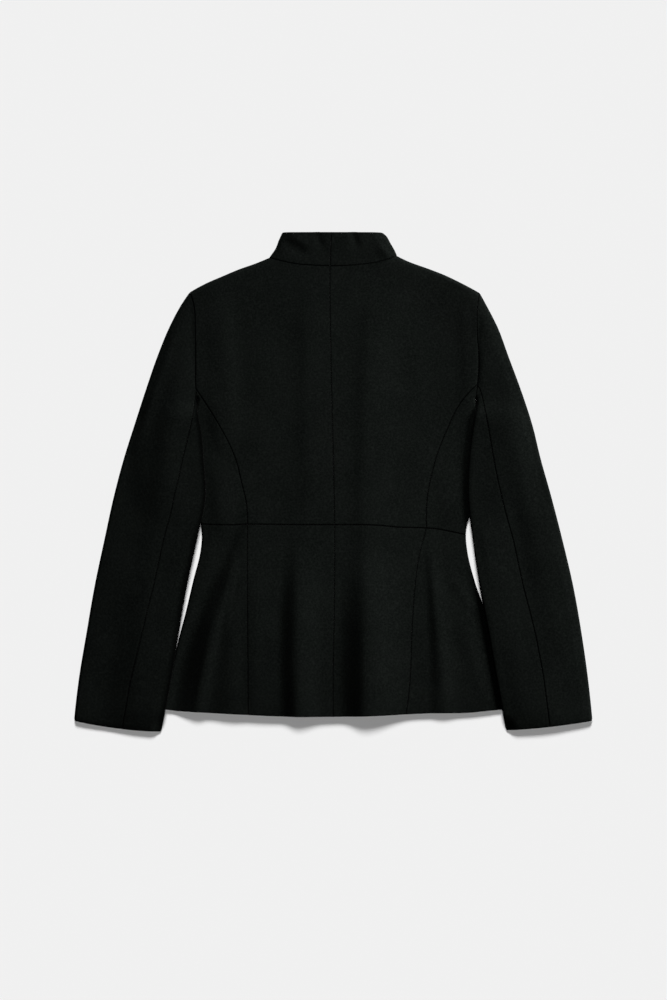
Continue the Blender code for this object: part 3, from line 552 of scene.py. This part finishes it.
def edge_distance(points, edges):
    """Distance from each point to the nearest folded edge, and the direction out over that edge."""
    nearest = np.full(len(points), np.inf)
    outward = np.zeros((len(points), 2))
    for edge in edges:
        start, step = edge.points[:-1], np.diff(edge.points, axis=0)
        squared = np.maximum((step**2).sum(1), 1e-12)
        for rows in np.array_split(np.arange(len(points)), len(points) // CHUNK + 1):
            away = points[rows, None] - start
            share = np.clip((away * step).sum(2) / squared, 0, 1)
            near = start + share[..., None] * step
            gap = np.linalg.norm(near - points[rows, None], axis=2)
            best = gap.argmin(1)
            each = np.arange(len(rows))
            distance, share, near = gap[each, best], share[each, best][:, None], near[each, best]
            way = (near - points[rows]) / np.maximum(distance, 1e-9)[:, None]
            on_edge = distance < ON_EDGE
            normal = edge.normals[best] * (1 - share) + edge.normals[best + 1] * share
            way[on_edge] = normal[on_edge] / np.linalg.norm(normal[on_edge], axis=1, keepdims=True)
            closer = distance < nearest[rows]
            nearest[rows[closer]], outward[rows[closer]] = distance[closer], way[closer]
    return nearest, outward


def body_height(points):
    height = np.interp(points[:, 1], THICKNESS["y"], THICKNESS["height"])
    out = eased((abs(points[:, 0]) - BULK_FROM) / BULK_OVER)
    return height + SLEEVE_BULK * out * eased((points[:, 1] - BULK_ABOVE) / BULK_FADE)


def sleeve_height(points):
    height = np.interp(points[:, 1], THICKNESS["y"], THICKNESS["height"])
    return height + SLEEVE_BULK * eased((abs(points[:, 0]) - BULK_FROM) / BULK_OVER)


def flat(points):
    return np.zeros(len(points))


def flute_rise(points):
    """Rise of the peplum's flutes above the flat: none at the waist and the most at the hem."""
    x = points[:, 0]
    waist = np.interp(x, WAIST["x"], WAIST["y"])
    hem = np.interp(x, HEM["x"], HEM["y"])
    down = np.clip((waist - points[:, 1]) / (waist - hem), 0, 1)
    places = (
        np.outer((1 - down) * (1 - 2 * down), FLUTES["waist"])
        + np.outer(4 * down * (1 - down), FLUTES["middle"])
        + np.outer(down * (2 * down - 1), FLUTES["hem"])
    )
    grown = np.clip((down[:, None] - FLUTES["start"]) / (1 - FLUTES["start"]), 0, 1)
    growth = EARLY_RISE * eased(grown / EARLY_SHARE) + (1 - EARLY_RISE) * grown
    rises = FLUTES["rise"] * growth
    before = np.clip((places < x[:, None]).sum(1) - 1, 0, places.shape[1] - 2)
    row = np.arange(len(points))
    near, far = places[row, before], places[row, before + 1]
    low, high = rises[row, before], rises[row, before + 1]
    return between(low, high, eased((x - near) / (far - near)))


def sleeve_cloth(side):
    """A sleeve over the side of the body: raised there, pressed thin at its fold, sloping off."""
    edge = SIDE_LINES[side].points
    order = np.argsort(edge[:, 1])
    heights, reach = edge[order, 1], SIGN[side] * edge[order, 0]

    def place(points):
        x, y = SIGN[side] * points[:, 0], points[:, 1]
        limit = np.interp(y, heights, reach)
        beyond = np.hypot(np.maximum(x - limit, 0), np.maximum(heights[0] - y, 0))
        under = np.column_stack([SIGN[side] * np.minimum(x, limit), np.maximum(y, heights[0])])
        below_pit = eased((heights[-1] - PIT_CLEAR - y) / PIT_FADE)
        raised = body_height(under) + flute_rise(under) + LAY_CLEARANCE
        return beyond, raised * below_pit, below_pit

    fold = INNER_LINES[side].points
    up = np.argsort(fold[:, 1])

    def height(points):
        below_pit = place(points)[2]
        inland = SIGN[side] * (points[:, 0] - np.interp(points[:, 1], fold[up, 1], fold[up, 0]))
        near_fold = 1 - eased(inland / PRESSED_OVER[side])
        return sleeve_height(points) * (1 - PRESSED * below_pit * near_fold)

    def base(points):
        beyond, full, _ = place(points)
        return full * (1 - eased((beyond - LIFT_MARGIN) / LIFT_RAMP))

    def wave(points):
        beyond, full, _ = place(points)
        steep, long = (eased((beyond - LIFT_MARGIN) / ramp) for ramp in (LIFT_RAMP, TOP_RAMP))
        return full * (steep - long) + folds(TOP_FOLDS, points)

    return Cloth([UPPER_EDGES[side], INNER_LINES[side]], height, base, wave)


def folds(columns, points):
    """Height of soft folds at points: each a rounded ridge or trough that dies away at its ends."""
    total = np.zeros(len(points))
    for x0, y0, x1, y1, left, right, height in zip(*columns.values()):
        way = np.array([x1 - x0, y1 - y0])
        length = np.hypot(*way)
        away = points - (x0, y0)
        along = away @ way / length
        across = away @ np.array([-way[1], way[0]]) / length
        across = across / np.where(across < 0, left, right)
        reach = FOLD_FADE * length
        fade = eased(0.5 + along / reach) * eased(0.5 + (length - along) / reach)
        total += height * np.exp(-(across**2)) * fade
    return total


def body_wave(points):
    return flute_rise(points) + folds(TOP_FOLDS, points)


def under_wave(points):
    return folds(UNDER_FOLDS, points)


def laid(points, cloth, face):
    """Outer points of a layer and its normals: face 1 lies on top, face -1 on the surface below."""
    shape = points.shape[:-1]
    flat_points = points.reshape(-1, 2)
    distance, outward = edge_distance(flat_points, cloth.edges)
    radius = cloth.height(flat_points) / 2
    cosine = np.clip(1 - distance / radius, 0, 1)
    sine = np.sqrt(1 - cosine**2)
    relief = cloth.wave if face > 0 else under_wave

    def ground(at):
        level = cloth.base(at) + relief(at)
        return level + cloth.height(at) if face > 0 else level

    def slope(step):
        return (ground(flat_points + step) - ground(flat_points - step)) / (2 * SLOPE_STEP)

    slope_x, slope_y = slope((SLOPE_STEP, 0)), slope((0, SLOPE_STEP))
    z = cloth.base(flat_points) + radius * (1 + face * sine)
    z += relief(flat_points) * eased(distance / WAVE_RAMP)
    normal = np.column_stack(
        [
            cosine * outward[:, 0] - face * sine * slope_x,
            cosine * outward[:, 1] - face * sine * slope_y,
            face * sine,
        ]
    )
    normal /= np.linalg.norm(normal, axis=1, keepdims=True)
    outer = np.column_stack([flat_points, z])
    return np.stack([outer, normal]).reshape(2, *shape, 3)


def patch(first, last, start, end, shares, holds=None):
    """Grid of flat points between four lines: its rows run from start to end, first row to last.

    Holds say how far each row follows the first line and the last one, unless that changes evenly.
    """
    ruled = between(start[:, None], end[:, None], shares[..., None])
    if holds is None:
        down = (shares_of(start) + shares_of(end)) / 2
        holds = 1 - down, down
    as_first, as_last = (hold[:, None, None] for hold in holds)
    return ruled + as_first * (first - ruled[0]) + as_last * (last - ruled[-1])


def run(length, first_edge, last_edge, steps, parts=()):
    """Shares along a length: close steps at its ends and each part's seam, even ones between."""
    marks = [0.0, *[share * length for share, _ in parts], length]
    edges = [(first_edge, None), *[(seam, seam) for _, seam in parts], (None, last_edge)]
    at = []
    for n, (low, high) in enumerate(zip(marks[:-1], marks[1:])):
        head = edges[n][0] if n == 0 else edges[n][1]
        tail = edges[n + 1][1] if n + 2 == len(marks) else edges[n + 1][0]
        room = (high - low) / max(END_ROOM * (head[-1] + tail[-1]), 1e-6)
        head, tail = head * min(1, room), tail * min(1, room)
        even = np.linspace(low + head[-1], high - tail[-1], steps[n] + 1)[1:-1]
        piece = np.concatenate([low + head, even, high - tail[::-1]])
        at.append(piece if n == 0 else piece[1:])
    return np.concatenate(at) / length


def fold_steps(radius):
    return radius * (1 - np.cos(FOLD_ANGLES))


def widths(start, end):
    return np.linalg.norm(end - start, axis=1)


def shares_of(points):
    lengths = np.concatenate([[0], np.cumsum(np.linalg.norm(np.diff(points, axis=0), axis=1))])
    return lengths / lengths[-1]


def rows_to_fold(start, fold, radius, seam, steps):
    """Shares of each row from a line to a folded edge, close beside both of them."""
    rows = zip(widths(start, fold), radius)
    return np.array([run(width, seam, fold_steps(r), [steps]) for width, r in rows])


def on_seam(columns, xs):
    """Points of a seam that runs across the jacket, at the given X."""
    line = Line(np.column_stack([columns["x"], columns["y"]]))
    return np.column_stack([xs, np.interp(xs, line.points[:, 0], line.points[:, 1])])


def back_seam_points(heights):
    line = Line(np.column_stack([BACK_SEAM["x"], BACK_SEAM["y"]]))
    order = np.argsort(line.points[:, 1])
    x, y = line.points[order].T
    return np.column_stack([np.interp(heights, y, x), heights])


def border_of(grid, edge):
    """A grid's points turned so that the named border comes first, and the steps run in from it."""
    turned = grid.swapaxes(0, 1)
    return {"first": grid, "last": grid[::-1], "start": turned, "end": turned[::-1]}[edge]


def shell(kind, side, sheet, face=1, wall=WALL, painted_fold_shade=0):
    """A piece of cloth: outer and inner sheets joined round their borders, and sunk at the seams.

    The last argument is shade painted into the colour along a pressed fold, at each point of the
    sheet.
    """
    pattern = PATTERNS[kind]
    seams, fold_seams = pattern.seams, pattern.fold_seams
    outer, normals = sheet
    rows, columns = outer.shape[:2]
    inner = outer - wall * normals
    sink, shade = np.zeros((2, rows, columns))
    # Painted shade starts from that of a pressed fold; the seams' painted shade goes in below
    shade += painted_fold_shade
    for edge in (*seams, *fold_seams, *pattern.free):
        inland = border_of(outer, edge)
        steps = np.linalg.norm(np.diff(inland, axis=0), axis=2)
        distance = np.vstack([np.zeros(inland.shape[1]), np.cumsum(steps, axis=0)])
        if edge in pattern.free:
            away = np.clip(1 - distance / TURNED_EDGE, 0, 1)
            depth = TURNED_EDGE * (1 - np.sqrt(1 - away**2))
        else:
            drawn = seams.get(edge, 0) or fold_seams[edge]
            dip = (SEAM_DIP if edge in seams else FOLD_SEAM_DIP) * drawn
            depth = dip * np.clip(1 - distance / SEAM_REACH, 0, 1) ** 2
            # Shade painted into the colour along this seam, strongest where the seam is drawn
            # tightest
            dark = border_of(shade, edge)
            fading = np.clip((SHADE_REACH - distance) / (SHADE_REACH - SHADE_FULL), 0, 1)
            np.maximum(dark, drawn * fading, out=dark)
        sunk = border_of(sink, edge)
        np.maximum(sunk, depth, out=sunk)
    outer = outer - normals * sink[..., None]
    for edge in seams:
        for layer, drawn in ((outer, SEAM_GROOVE), (inner, -SEAM_TUCK)):
            inland = border_of(layer, edge)
            inward = inland[2] - inland[0]
            length = np.maximum(np.linalg.norm(inward, axis=1, keepdims=True), 1e-6)
            inland[0] += inward * drawn / length
            inland[1] = (inland[0] + inland[2]) / 2
    for edge in fold_seams:
        border_of(outer, edge)[0][:, 2] += face * FOLD_GROOVE
    layers = np.stack([outer, inner])

    mesh = bmesh.new()
    bmesh.ops.create_grid(mesh, x_segments=columns - 1, y_segments=rows - 1, size=1)
    mark = mesh.verts.layers.int.new("station")
    # Layer of painted shade for the seams and sleeve folds, read by the material
    painted_shade_layer = mesh.verts.layers.float.new("painted_shade")
    for vert in mesh.verts:
        column = round((vert.co.x + 1) / 2 * (columns - 1))
        row = round((vert.co.y + 1) / 2 * (rows - 1))
        vert[mark] = row * columns + column + 1
    made = bmesh.ops.extrude_face_region(mesh, geom=mesh.faces[:], use_keep_orig=True)
    copies = {item for item in made["geom"] if isinstance(item, bmesh.types.BMVert)}
    for vert in mesh.verts:
        row, column = divmod(vert[mark] - 1, columns)
        vert.co = layers[int(vert in copies), row, column] * MM
        vert[painted_shade_layer] = shade[row, column]
    mesh.verts.layers.int.remove(mark)
    bmesh.ops.recalc_face_normals(mesh, faces=mesh.faces[:])
    if mesh.calc_volume(signed=True) < 0:
        bmesh.ops.reverse_faces(mesh, faces=mesh.faces[:])
    name = f"{kind}_{side}_cloth"
    data = bpy.data.meshes.new(name)
    mesh.to_mesh(data)
    mesh.free()
    data.shade_smooth()
    data.set_sharp_from_angle(angle=EDGE_ANGLE)
    data.materials.append(WOOL_CREPE)
    piece = bpy.data.objects.new(name, data)
    bpy.context.scene.collection.objects.link(piece)

    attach(piece, "root")
    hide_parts(f"{kind}_{side}")
    JACKET.append(piece)


def collar(side):
    """Half of the stand collar, from the middle back round its side fold to the middle front."""
    up = run(COLLAR_TOP_Y - NECK_Y, BESIDE_SEAM, BESIDE_SEAM, [STEPS["collar_up"]])
    fold = side_line(COLLAR_SIDE, side).at(up)
    radius = body_height(fold) / 2 * FOLD_SLANT

    def half(neck, top, middle):
        shares = rows_to_fold(middle, fold, radius, BESIDE_SEAM, STEPS["collar"])
        return patch(neck.at(shares[0]), top.at(shares[-1]), middle, fold, shares)

    back_line = back_seam_points(between(NECK_Y, COLLAR_TOP_Y, up))
    back = half(side_line(NECK, side), Line([back_line[-1], fold[-1]]), back_line)
    front_line = Line([side_points(FRONT_NECK, side)[0], side_points(FRONT_COLLAR, side)[0]]).at(up)
    front = half(side_line(FRONT_NECK, side), side_line(FRONT_COLLAR, side), front_line)
    sheet = np.concatenate([laid(back, BODY, 1), laid(front, BODY, -1)[:, :, -2::-1]], axis=2)
    shell("collar", side, sheet, wall=COLLAR_WALL)


def sleeve(side):
    """Top and under sleeve: one tube of two pieces, from the cuff to the armhole."""
    columns = SLEEVE[side]
    cloth = SLEEVE_CLOTH[side]
    last = len(columns["outer"]) - 1
    spans = zip(SLEEVE_ROWS, SLEEVE_ROWS[1:])
    even = np.concatenate([np.linspace(*span, ROWS_BETWEEN, endpoint=False) for span in spans])
    close = last - BESIDE_SEAM[::-1] / SECTION_LENGTH
    sections = np.concatenate([even[even < close[0] - SECTION_GAP], close])
    outer = OUTER_LINES[side].at_sections(sections)
    inner = INNER_LINES[side].at_sections(sections)
    as_cuff = np.clip(1 - sections / CUFF_HOLD, 0, 1) ** 2
    as_armhole = np.clip(1 - (last - sections) / ARM_HOLD, 0, 1) ** 2

    def layer(armhole, seam_at, steps):
        shares = []
        for n, width in enumerate(widths(outer, inner)):
            ends = sleeve_height(np.array([outer[n], inner[n]])) / 2
            folds_at = fold_steps(ends[0] * FOLD_SLANT), fold_steps(ends[1])
            shares.append(run(width, *folds_at, steps, [(seam_at(sections[n]), BESIDE_SEAM)]))
        shares = np.array(shares)
        bow = CUFF_BOW[side] * 4 * shares[0] * (1 - shares[0])
        cuff = between(outer[0], inner[0], shares[0][:, None])
        cuff[:, 1] -= bow
        return patch(cuff, armhole.at(shares[-1]), outer, inner, shares, (as_cuff, as_armhole))

    def hind_at(section):
        return float(np.interp(section, np.arange(last + 1), columns["hind"]))

    def fore_at(section):
        return float(np.interp(section, FORE_SEAM["section"], FORE_SEAM["share"]))

    top = layer(side_line(ARMHOLE, side), hind_at, HIND_STEPS)
    bottom = layer(side_line(FRONT_ARMHOLE, side), fore_at, FORE_STEPS)
    hind = len(FOLD_ANGLES) - 1 + HIND_STEPS[0] + len(BESIDE_SEAM) - 1
    fore = len(FOLD_ANGLES) - 1 + FORE_STEPS[0] + len(BESIDE_SEAM) - 1
    above, below = laid(top, cloth, 1), laid(bottom, cloth, -1)
    top_sleeve = np.concatenate([above[:, :, hind::-1], below[:, :, 1 : fore + 1]], axis=2)
    under_sleeve = np.concatenate([above[:, :, hind:], below[:, :, -2 : fore - 1 : -1]], axis=2)
    shell("top_sleeve", side, top_sleeve)
    rows, across = under_sleeve.shape[1:3]
    # Shade painted into the under sleeve's colour along its inner fold, fading out from the fold
    distance, _ = edge_distance(under_sleeve[0, ..., :2].reshape(-1, 2), [INNER_LINES[side]])
    painted_fold_shade = PAINTED_CREASE_SHADE[side] * np.clip(1 - distance / CREASE_REACH, 0, 1)
    shell("under_sleeve", side, under_sleeve, painted_fold_shade=painted_fold_shade.reshape(rows, across))


def blended_shares(first, last, start_rows):
    """Row shares that go evenly from those of the first row to those of the last."""
    t = (start_rows - start_rows[0]) / (start_rows[-1] - start_rows[0])
    return between(first, last, t[:, None])


def body(side):
    """Back centre, back side and front of the bodice, and the peplum pieces below them."""
    sign = SIGN[side]
    armhole, neck = side_line(ARMHOLE, side), side_line(NECK, side)
    princess_top = PRINCESS_TOP[side]
    princess = Line(np.vstack([side_points(PRINCESS, side), armhole.at([princess_top])]))
    side_fold = SIDE_LINES[side]
    at_waist = side_fold.share_at_height(WAIST["y"][0 if sign < 0 else -1])
    shoulder = side_line(SHOULDER, side)
    shoulder_radius = body_height(side_points(SHOULDER, side)[-1:])[0] / 2 * FOLD_SLANT
    neck_shares = run(neck.length, BESIDE_SEAM, PLAIN_EDGE, [STEPS["neck"]])
    shoulder_shares = run(shoulder.length, PLAIN_EDGE, BESIDE_SEAM, [STEPS["shoulder"]])
    top_count = len(neck_shares) + len(shoulder_shares) - 1

    # Back centre
    up_princess = run(princess.length, BESIDE_SEAM, PLAIN_EDGE, [STEPS["princess"]])
    down_armhole = princess_top * run(
        armhole.length * princess_top, fold_steps(shoulder_radius), PLAIN_EDGE, [STEPS["armhole"]]
    )
    top = np.vstack([neck.at(neck_shares), shoulder.at(shoulder_shares[1:])])
    outer = np.vstack([princess.at(up_princess), armhole.at(down_armhole[-2::-1])])
    rise = (outer[:, 1] - outer[0, 1]) / (outer[-1, 1] - outer[0, 1])
    middle = back_seam_points(between(WAIST_MIDDLE[1], top[0, 1], rise))
    steps = top_count - 2 * len(BESIDE_SEAM) + 1
    across = run(widths(middle[:1], outer[:1])[0], BESIDE_SEAM, BESIDE_SEAM, [steps])
    waist = on_seam(WAIST, between(middle[0, 0], outer[0, 0], across))
    centre = patch(waist, top, middle, outer, blended_shares(across, shares_of(top), middle[:, 1]))
    shell("back_centre", side, laid(centre, BODY, 1))

    # Back side, up to the stretch of armhole between the princess seam and the armpit
    up = run(princess.length, BESIDE_SEAM, BESIDE_SEAM, [STEPS["side_up"]])
    rows_up = np.interp(up, np.linspace(0, 1, len(SIDE_ROWS)), SIDE_ROWS)
    upper_side = side_fold.at(at_waist * (1 - rows_up))
    upper_side[0] = on_seam(WAIST, upper_side[:1, 0])[0]
    princess_rows = princess.at(up)
    radius = body_height(upper_side) / 2
    shares = rows_to_fold(princess_rows, upper_side, radius, BESIDE_SEAM, STEPS["side"])
    arm_top = armhole.at(princess_top + (1 - princess_top) * shares[-1])
    waist = on_seam(WAIST, between(princess_rows[0, 0], upper_side[0, 0], shares[0]))
    grid = laid(patch(waist, arm_top, princess_rows, upper_side, shares), BODY, 1)
    shell("back_side", side, grid)

    # Front, one piece from the neck to the waist, under both
    front_neck, front_armhole = side_line(FRONT_NECK, side), side_line(FRONT_ARMHOLE, side)
    neck_shares = run(front_neck.length, PLAIN_EDGE, PLAIN_EDGE, [STEPS["front_neck"]])
    shoulder_shares = run(shoulder.length, PLAIN_EDGE, BESIDE_SEAM, [STEPS["front_shoulder"]])
    top = np.vstack([front_neck.at(neck_shares), shoulder.at(shoulder_shares[1:])])
    down_arm = run(
        front_armhole.length, fold_steps(shoulder_radius), BESIDE_SEAM, [STEPS["front_armhole"]]
    )
    outer = np.vstack([upper_side, front_armhole.at(down_arm[-2::-1])])
    rows = len(upper_side)
    rise = (outer[:, 1] - outer[0, 1]) / (outer[-1, 1] - outer[0, 1])
    inner_x = sign * FRONT_GAP / 2
    front_waist_y = on_seam(WAIST, np.array([inner_x]))[0, 1]
    middle_y = between(front_waist_y, top[0, 1], rise)
    middle = np.column_stack([np.full(len(outer), inner_x), middle_y])
    steps = len(top) - len(FOLD_ANGLES)
    lower = rows_to_fold(middle[:rows], outer[:rows], radius, PLAIN_EDGE, steps)
    upper = blended_shares(lower[-1], shares_of(top), outer[rows - 1 :, 1])[1:]
    shares = np.vstack([lower, upper])
    front_waist = on_seam(WAIST, between(inner_x, outer[0, 0], shares[0]))
    pit = outer[rows - 1, 1]
    above_pit = np.clip((outer[:, 1] - pit) / (outer[-1, 1] - pit), 0, 1)
    holds = np.clip(1 - rise * WAIST_HOLD, 0, 1), above_pit**2
    grid = laid(patch(front_waist, top, middle, outer, shares, holds), BODY, -1)
    shell("front", side, grid, face=-1)

    # Peplum, from the waist down
    seam_line = side_line(PEPLUM_SEAM, side)
    down = run(seam_line.length, BESIDE_SEAM, BESIDE_SEAM, [STEPS["peplum_down"]])
    seam = seam_line.at(down)
    seam[0], seam[-1] = princess_rows[0], on_seam(HEM, seam[-1:, 0])[0]
    middle = back_seam_points(between(WAIST_MIDDLE[1], HEM["y"].min(), down))
    middle[-1] = on_seam(HEM, middle[-1:, 0])[0]
    steps = [STEPS["peplum_centre"]]
    across = run(widths(middle[:1], seam[:1])[0], BESIDE_SEAM, BESIDE_SEAM, steps)
    waist = on_seam(WAIST, between(middle[0, 0], seam[0, 0], across))
    hem = on_seam(HEM, between(middle[-1, 0], seam[-1, 0], across))
    grid = laid(patch(waist, hem, middle, seam, np.tile(across, (len(down), 1))), BODY, 1)
    shell("peplum_back_centre", side, grid)

    lower_side = side_fold.at(at_waist + (1 - at_waist) * down)
    lower_side[0], lower_side[-1] = upper_side[0], on_seam(HEM, lower_side[-1:, 0])[0]
    radius = body_height(lower_side) / 2
    shares = rows_to_fold(seam, lower_side, radius, BESIDE_SEAM, STEPS["peplum_side"])
    waist = on_seam(WAIST, between(seam[0, 0], lower_side[0, 0], shares[0]))
    hem = on_seam(HEM, between(seam[-1, 0], lower_side[-1, 0], shares[-1]))
    grid = laid(patch(waist, hem, seam, lower_side, shares), BODY, 1)
    shell("peplum_back_side", side, grid)

    middle_y = between(front_waist_y, FRONT_HEM, down)
    middle = np.column_stack([np.full(len(down), inner_x), middle_y])
    shares = rows_to_fold(middle, lower_side, radius, PLAIN_EDGE, STEPS["peplum_front"])
    waist = on_seam(WAIST, between(inner_x, lower_side[0, 0], shares[0]))
    hem = between(middle[-1], lower_side[-1], shares[-1][:, None])
    grid = laid(patch(waist, hem, middle, lower_side, shares), BODY, -1)
    shell("peplum_front", side, grid, face=-1)


def linear(hex_colour):
    """An sRGB hex colour as the linear values that a shader takes."""
    channels = [int(hex_colour[n : n + 2], 16) / 255 for n in (1, 3, 5)]
    return [c / 12.92 if c <= 0.04045 else ((c + 0.055) / 1.055) ** 2.4 for c in channels] + [1.0]


def node(tree, kind, settings=None, **links):
    """Adds a shader node with its settings, and joins each named input or gives it a value.

    An input is named as Blender names it, or by n and its number.
    """
    made = tree.nodes.new(kind)
    for name, value in (settings or {}).items():
        setattr(made, name, value)
    for name, value in links.items():
        numbered = name[0] == "n" and name[1:].isdigit()
        socket = made.inputs[int(name[1:]) if numbered else name]
        if isinstance(value, bpy.types.NodeSocket):
            tree.links.new(value, socket)
        else:
            socket.default_value = value
    return made


def wool_crepe():
    """Wool crepe, woven from hard-twisted yarn and piece-dyed black: matt, with a fine pebbled face
    that breaks up the light, a faint bloom of fibre ends, and slow changes of tone over each panel.
    The pebbles are drawn at about twice their real size, so that they show from a step away. Shade
    is painted into the colour in the sewn lines and along the pressed inner folds of the sleeves."""
    material = bpy.data.materials.new("wool_crepe_black")
    material.use_nodes = True
    tree = material.node_tree
    shader = tree.nodes["Principled BSDF"]
    place = node(tree, "ShaderNodeTexCoord").outputs["Object"]
    noise, smooth = "ShaderNodeTexNoise", {"feature": "SMOOTH_F1"}
    times, times_add = {"operation": "MULTIPLY"}, {"operation": "MULTIPLY_ADD"}
    pebble = node(tree, "ShaderNodeTexVoronoi", smooth, Vector=place, Scale=1 / PEBBLE)
    fibre = node(tree, noise, Vector=place, Scale=1 / FIBRE, Detail=FIBRE_DETAIL)
    cloud = node(tree, noise, Vector=place, Scale=1 / CLOUD, Detail=CLOUD_DETAIL)
    pebbles, fibres, clouds = pebble.outputs["Distance"], fibre.outputs["Fac"], cloud.outputs["Fac"]
    grain = node(tree, "ShaderNodeMath", times, n0=pebbles, n1=fibres).outputs[0]
    tone = node(tree, "ShaderNodeMath", times_add, n0=grain, n1=TONE_SPREAD, n2=TONE_SHIFT)
    drift = node(tree, "ShaderNodeMath", times_add, n0=clouds, n1=CLOUD_DRIFT, n2=tone.outputs[0])
    ramp = node(tree, "ShaderNodeValToRGB", Fac=drift.outputs[0])
    for end, position, colour in zip(ramp.color_ramp.elements, TONE_ENDS, (WOOL_DARK, WOOL_LIGHT)):
        end.position, end.color = position, linear(colour)
    bump = node(
        tree, "ShaderNodeBump", Height=grain, Strength=PEBBLE_STRENGTH, Distance=PEBBLE_DEPTH
    )
    # Painted shade: the colour is mixed towards near-black in the seams and along the sleeves'
    # inner folds
    painted_shade_layer = node(tree, "ShaderNodeAttribute", {"attribute_name": "painted_shade"})
    painted_shade_mix = node(
        tree,
        "ShaderNodeMix",
        {"data_type": "RGBA"},
        n0=painted_shade_layer.outputs["Fac"],
        n6=ramp.outputs["Color"],
        n7=linear(PAINTED_SHADE_COLOUR),
    )
    tree.links.new(painted_shade_mix.outputs[2], shader.inputs["Base Color"])
    tree.links.new(bump.outputs["Normal"], shader.inputs["Normal"])
    shader.inputs["Roughness"].default_value = ROUGHNESS
    shader.inputs["Specular IOR Level"].default_value = 0.0
    shader.inputs["Sheen Weight"].default_value = SHEEN
    shader.inputs["Sheen Roughness"].default_value = SHEEN_ROUGHNESS
    return material


def lamp(
    name, lit, kind, azimuth, elevation, strength, size, distance=LAMP_DISTANCE, aim=(0, 0)
):
    """A light of the studio from a direction: azimuth 0 is the collar end, 90 the right side.

    Size is a sun's angle, the width of a softbox, or the angle that a spotlight covers.
    """
    data = bpy.data.lights.new(name, kind)
    data.energy = strength
    if kind == "SUN":
        data.angle = math.radians(size)
    elif kind == "AREA":
        data.size = size
        data.energy *= math.pi * distance**2
    else:
        data.spot_size, data.spot_blend = math.radians(size), SPOT_BLEND
        data.shadow_soft_size = SPOT_RADIUS
        data.energy *= 4 * math.pi * distance**2
    light = bpy.data.objects.new(name, data)
    a, e = math.radians(azimuth), math.radians(elevation)
    way = Vector((math.sin(a) * math.cos(e), math.cos(a) * math.cos(e), math.sin(e)))
    light.location = way * distance + Vector((*aim, 0))
    light.rotation_euler = way.to_track_quat("Z", "Y").to_euler()
    light.light_linking.receiver_collection = lit
    bpy.context.scene.collection.objects.link(light)


def lit_group(name, objects):
    group = bpy.data.collections.new(name)
    for item in objects:
        group.objects.link(item)
    return group


def studio():
    """Pale floor, its own soft light and the jacket's, and a camera straight above the jacket."""
    mesh = bmesh.new()
    bmesh.ops.create_grid(mesh, x_segments=1, y_segments=1, size=FLOOR_REACH)
    data = bpy.data.meshes.new("floor")
    mesh.to_mesh(data)
    mesh.free()
    floor = bpy.data.objects.new("floor", data)
    floor.location.z = FLOOR_Z
    paper = bpy.data.materials.new("matt_backdrop_paper")
    paper.use_nodes = True
    face = paper.node_tree.nodes["Principled BSDF"].inputs
    face["Base Color"].default_value = linear(PAPER)
    face["Roughness"].default_value = 1.0
    face["Specular IOR Level"].default_value = 0.0
    data.materials.append(paper)
    bpy.context.scene.collection.objects.link(floor)

    world = bpy.data.worlds.new("studio")
    world.use_nodes = True
    sky = world.node_tree.nodes["Background"].inputs
    sky["Color"].default_value = linear(SKY)
    sky["Strength"].default_value = WORLD_STRENGTH
    bpy.context.scene.world = world
    bpy.context.scene.view_settings.view_transform = "Standard"
    on_floor, on_jacket = lit_group("backdrop", [floor]), lit_group("jacket", JACKET)
    for name, settings in FLOOR_LAMPS.items():
        lamp(name, on_floor, *settings)
    for name, settings in JACKET_LAMPS.items():
        lamp(name, on_jacket, *settings)

    camera = bpy.data.objects.new("camera", bpy.data.cameras.new("camera"))
    camera.data.sensor_width = SENSOR
    camera.data.lens = SENSOR * CAMERA_HEIGHT / VIEW_HEIGHT
    camera.location = (*VIEW_MIDDLE, CAMERA_HEIGHT)
    bpy.context.scene.collection.objects.link(camera)
    bpy.context.scene.camera = camera


JACKET = []
WOOL_CREPE = wool_crepe()

# Folded edges: the upper one from the collar over the shoulder down the sleeve, the inner edge of
# the sleeve, and the side of the body. The last two start at the armpit.
PIT_NORMAL = (0.0, -1.0)
SIDE_LINES = {
    side: side_line(BODY_SIDE, side, turn=-sign, first_normal=PIT_NORMAL)
    for side, sign in SIGN.items()
}
OUTER_LINES, INNER_LINES, UPPER_EDGES = {}, {}, {}
for side, sign in SIGN.items():
    for edge, lines, turn in (("outer", OUTER_LINES, sign), ("inner", INNER_LINES, -sign)):
        x, y = SLEEVE[side][edge], SLEEVE[side][edge + "_y"]
        lines[side] = Line(np.column_stack([sign * x, y]), turn=turn)
    UPPER_EDGES[side] = joined(
        OUTER_LINES[side],
        Line(side_points(SHOULDER, side)[::-1], turn=sign),
        side_line(COLLAR_SIDE, side, turn=sign),
    )

BODY_EDGES = [*UPPER_EDGES.values(), *SIDE_LINES.values()]
BODY = Cloth(BODY_EDGES, body_height, flat, body_wave)
SLEEVE_CLOTH = {side: sleeve_cloth(side) for side in SIGN}

for side in SIGN:
    collar(side)
    sleeve(side)
    body(side)
studio()
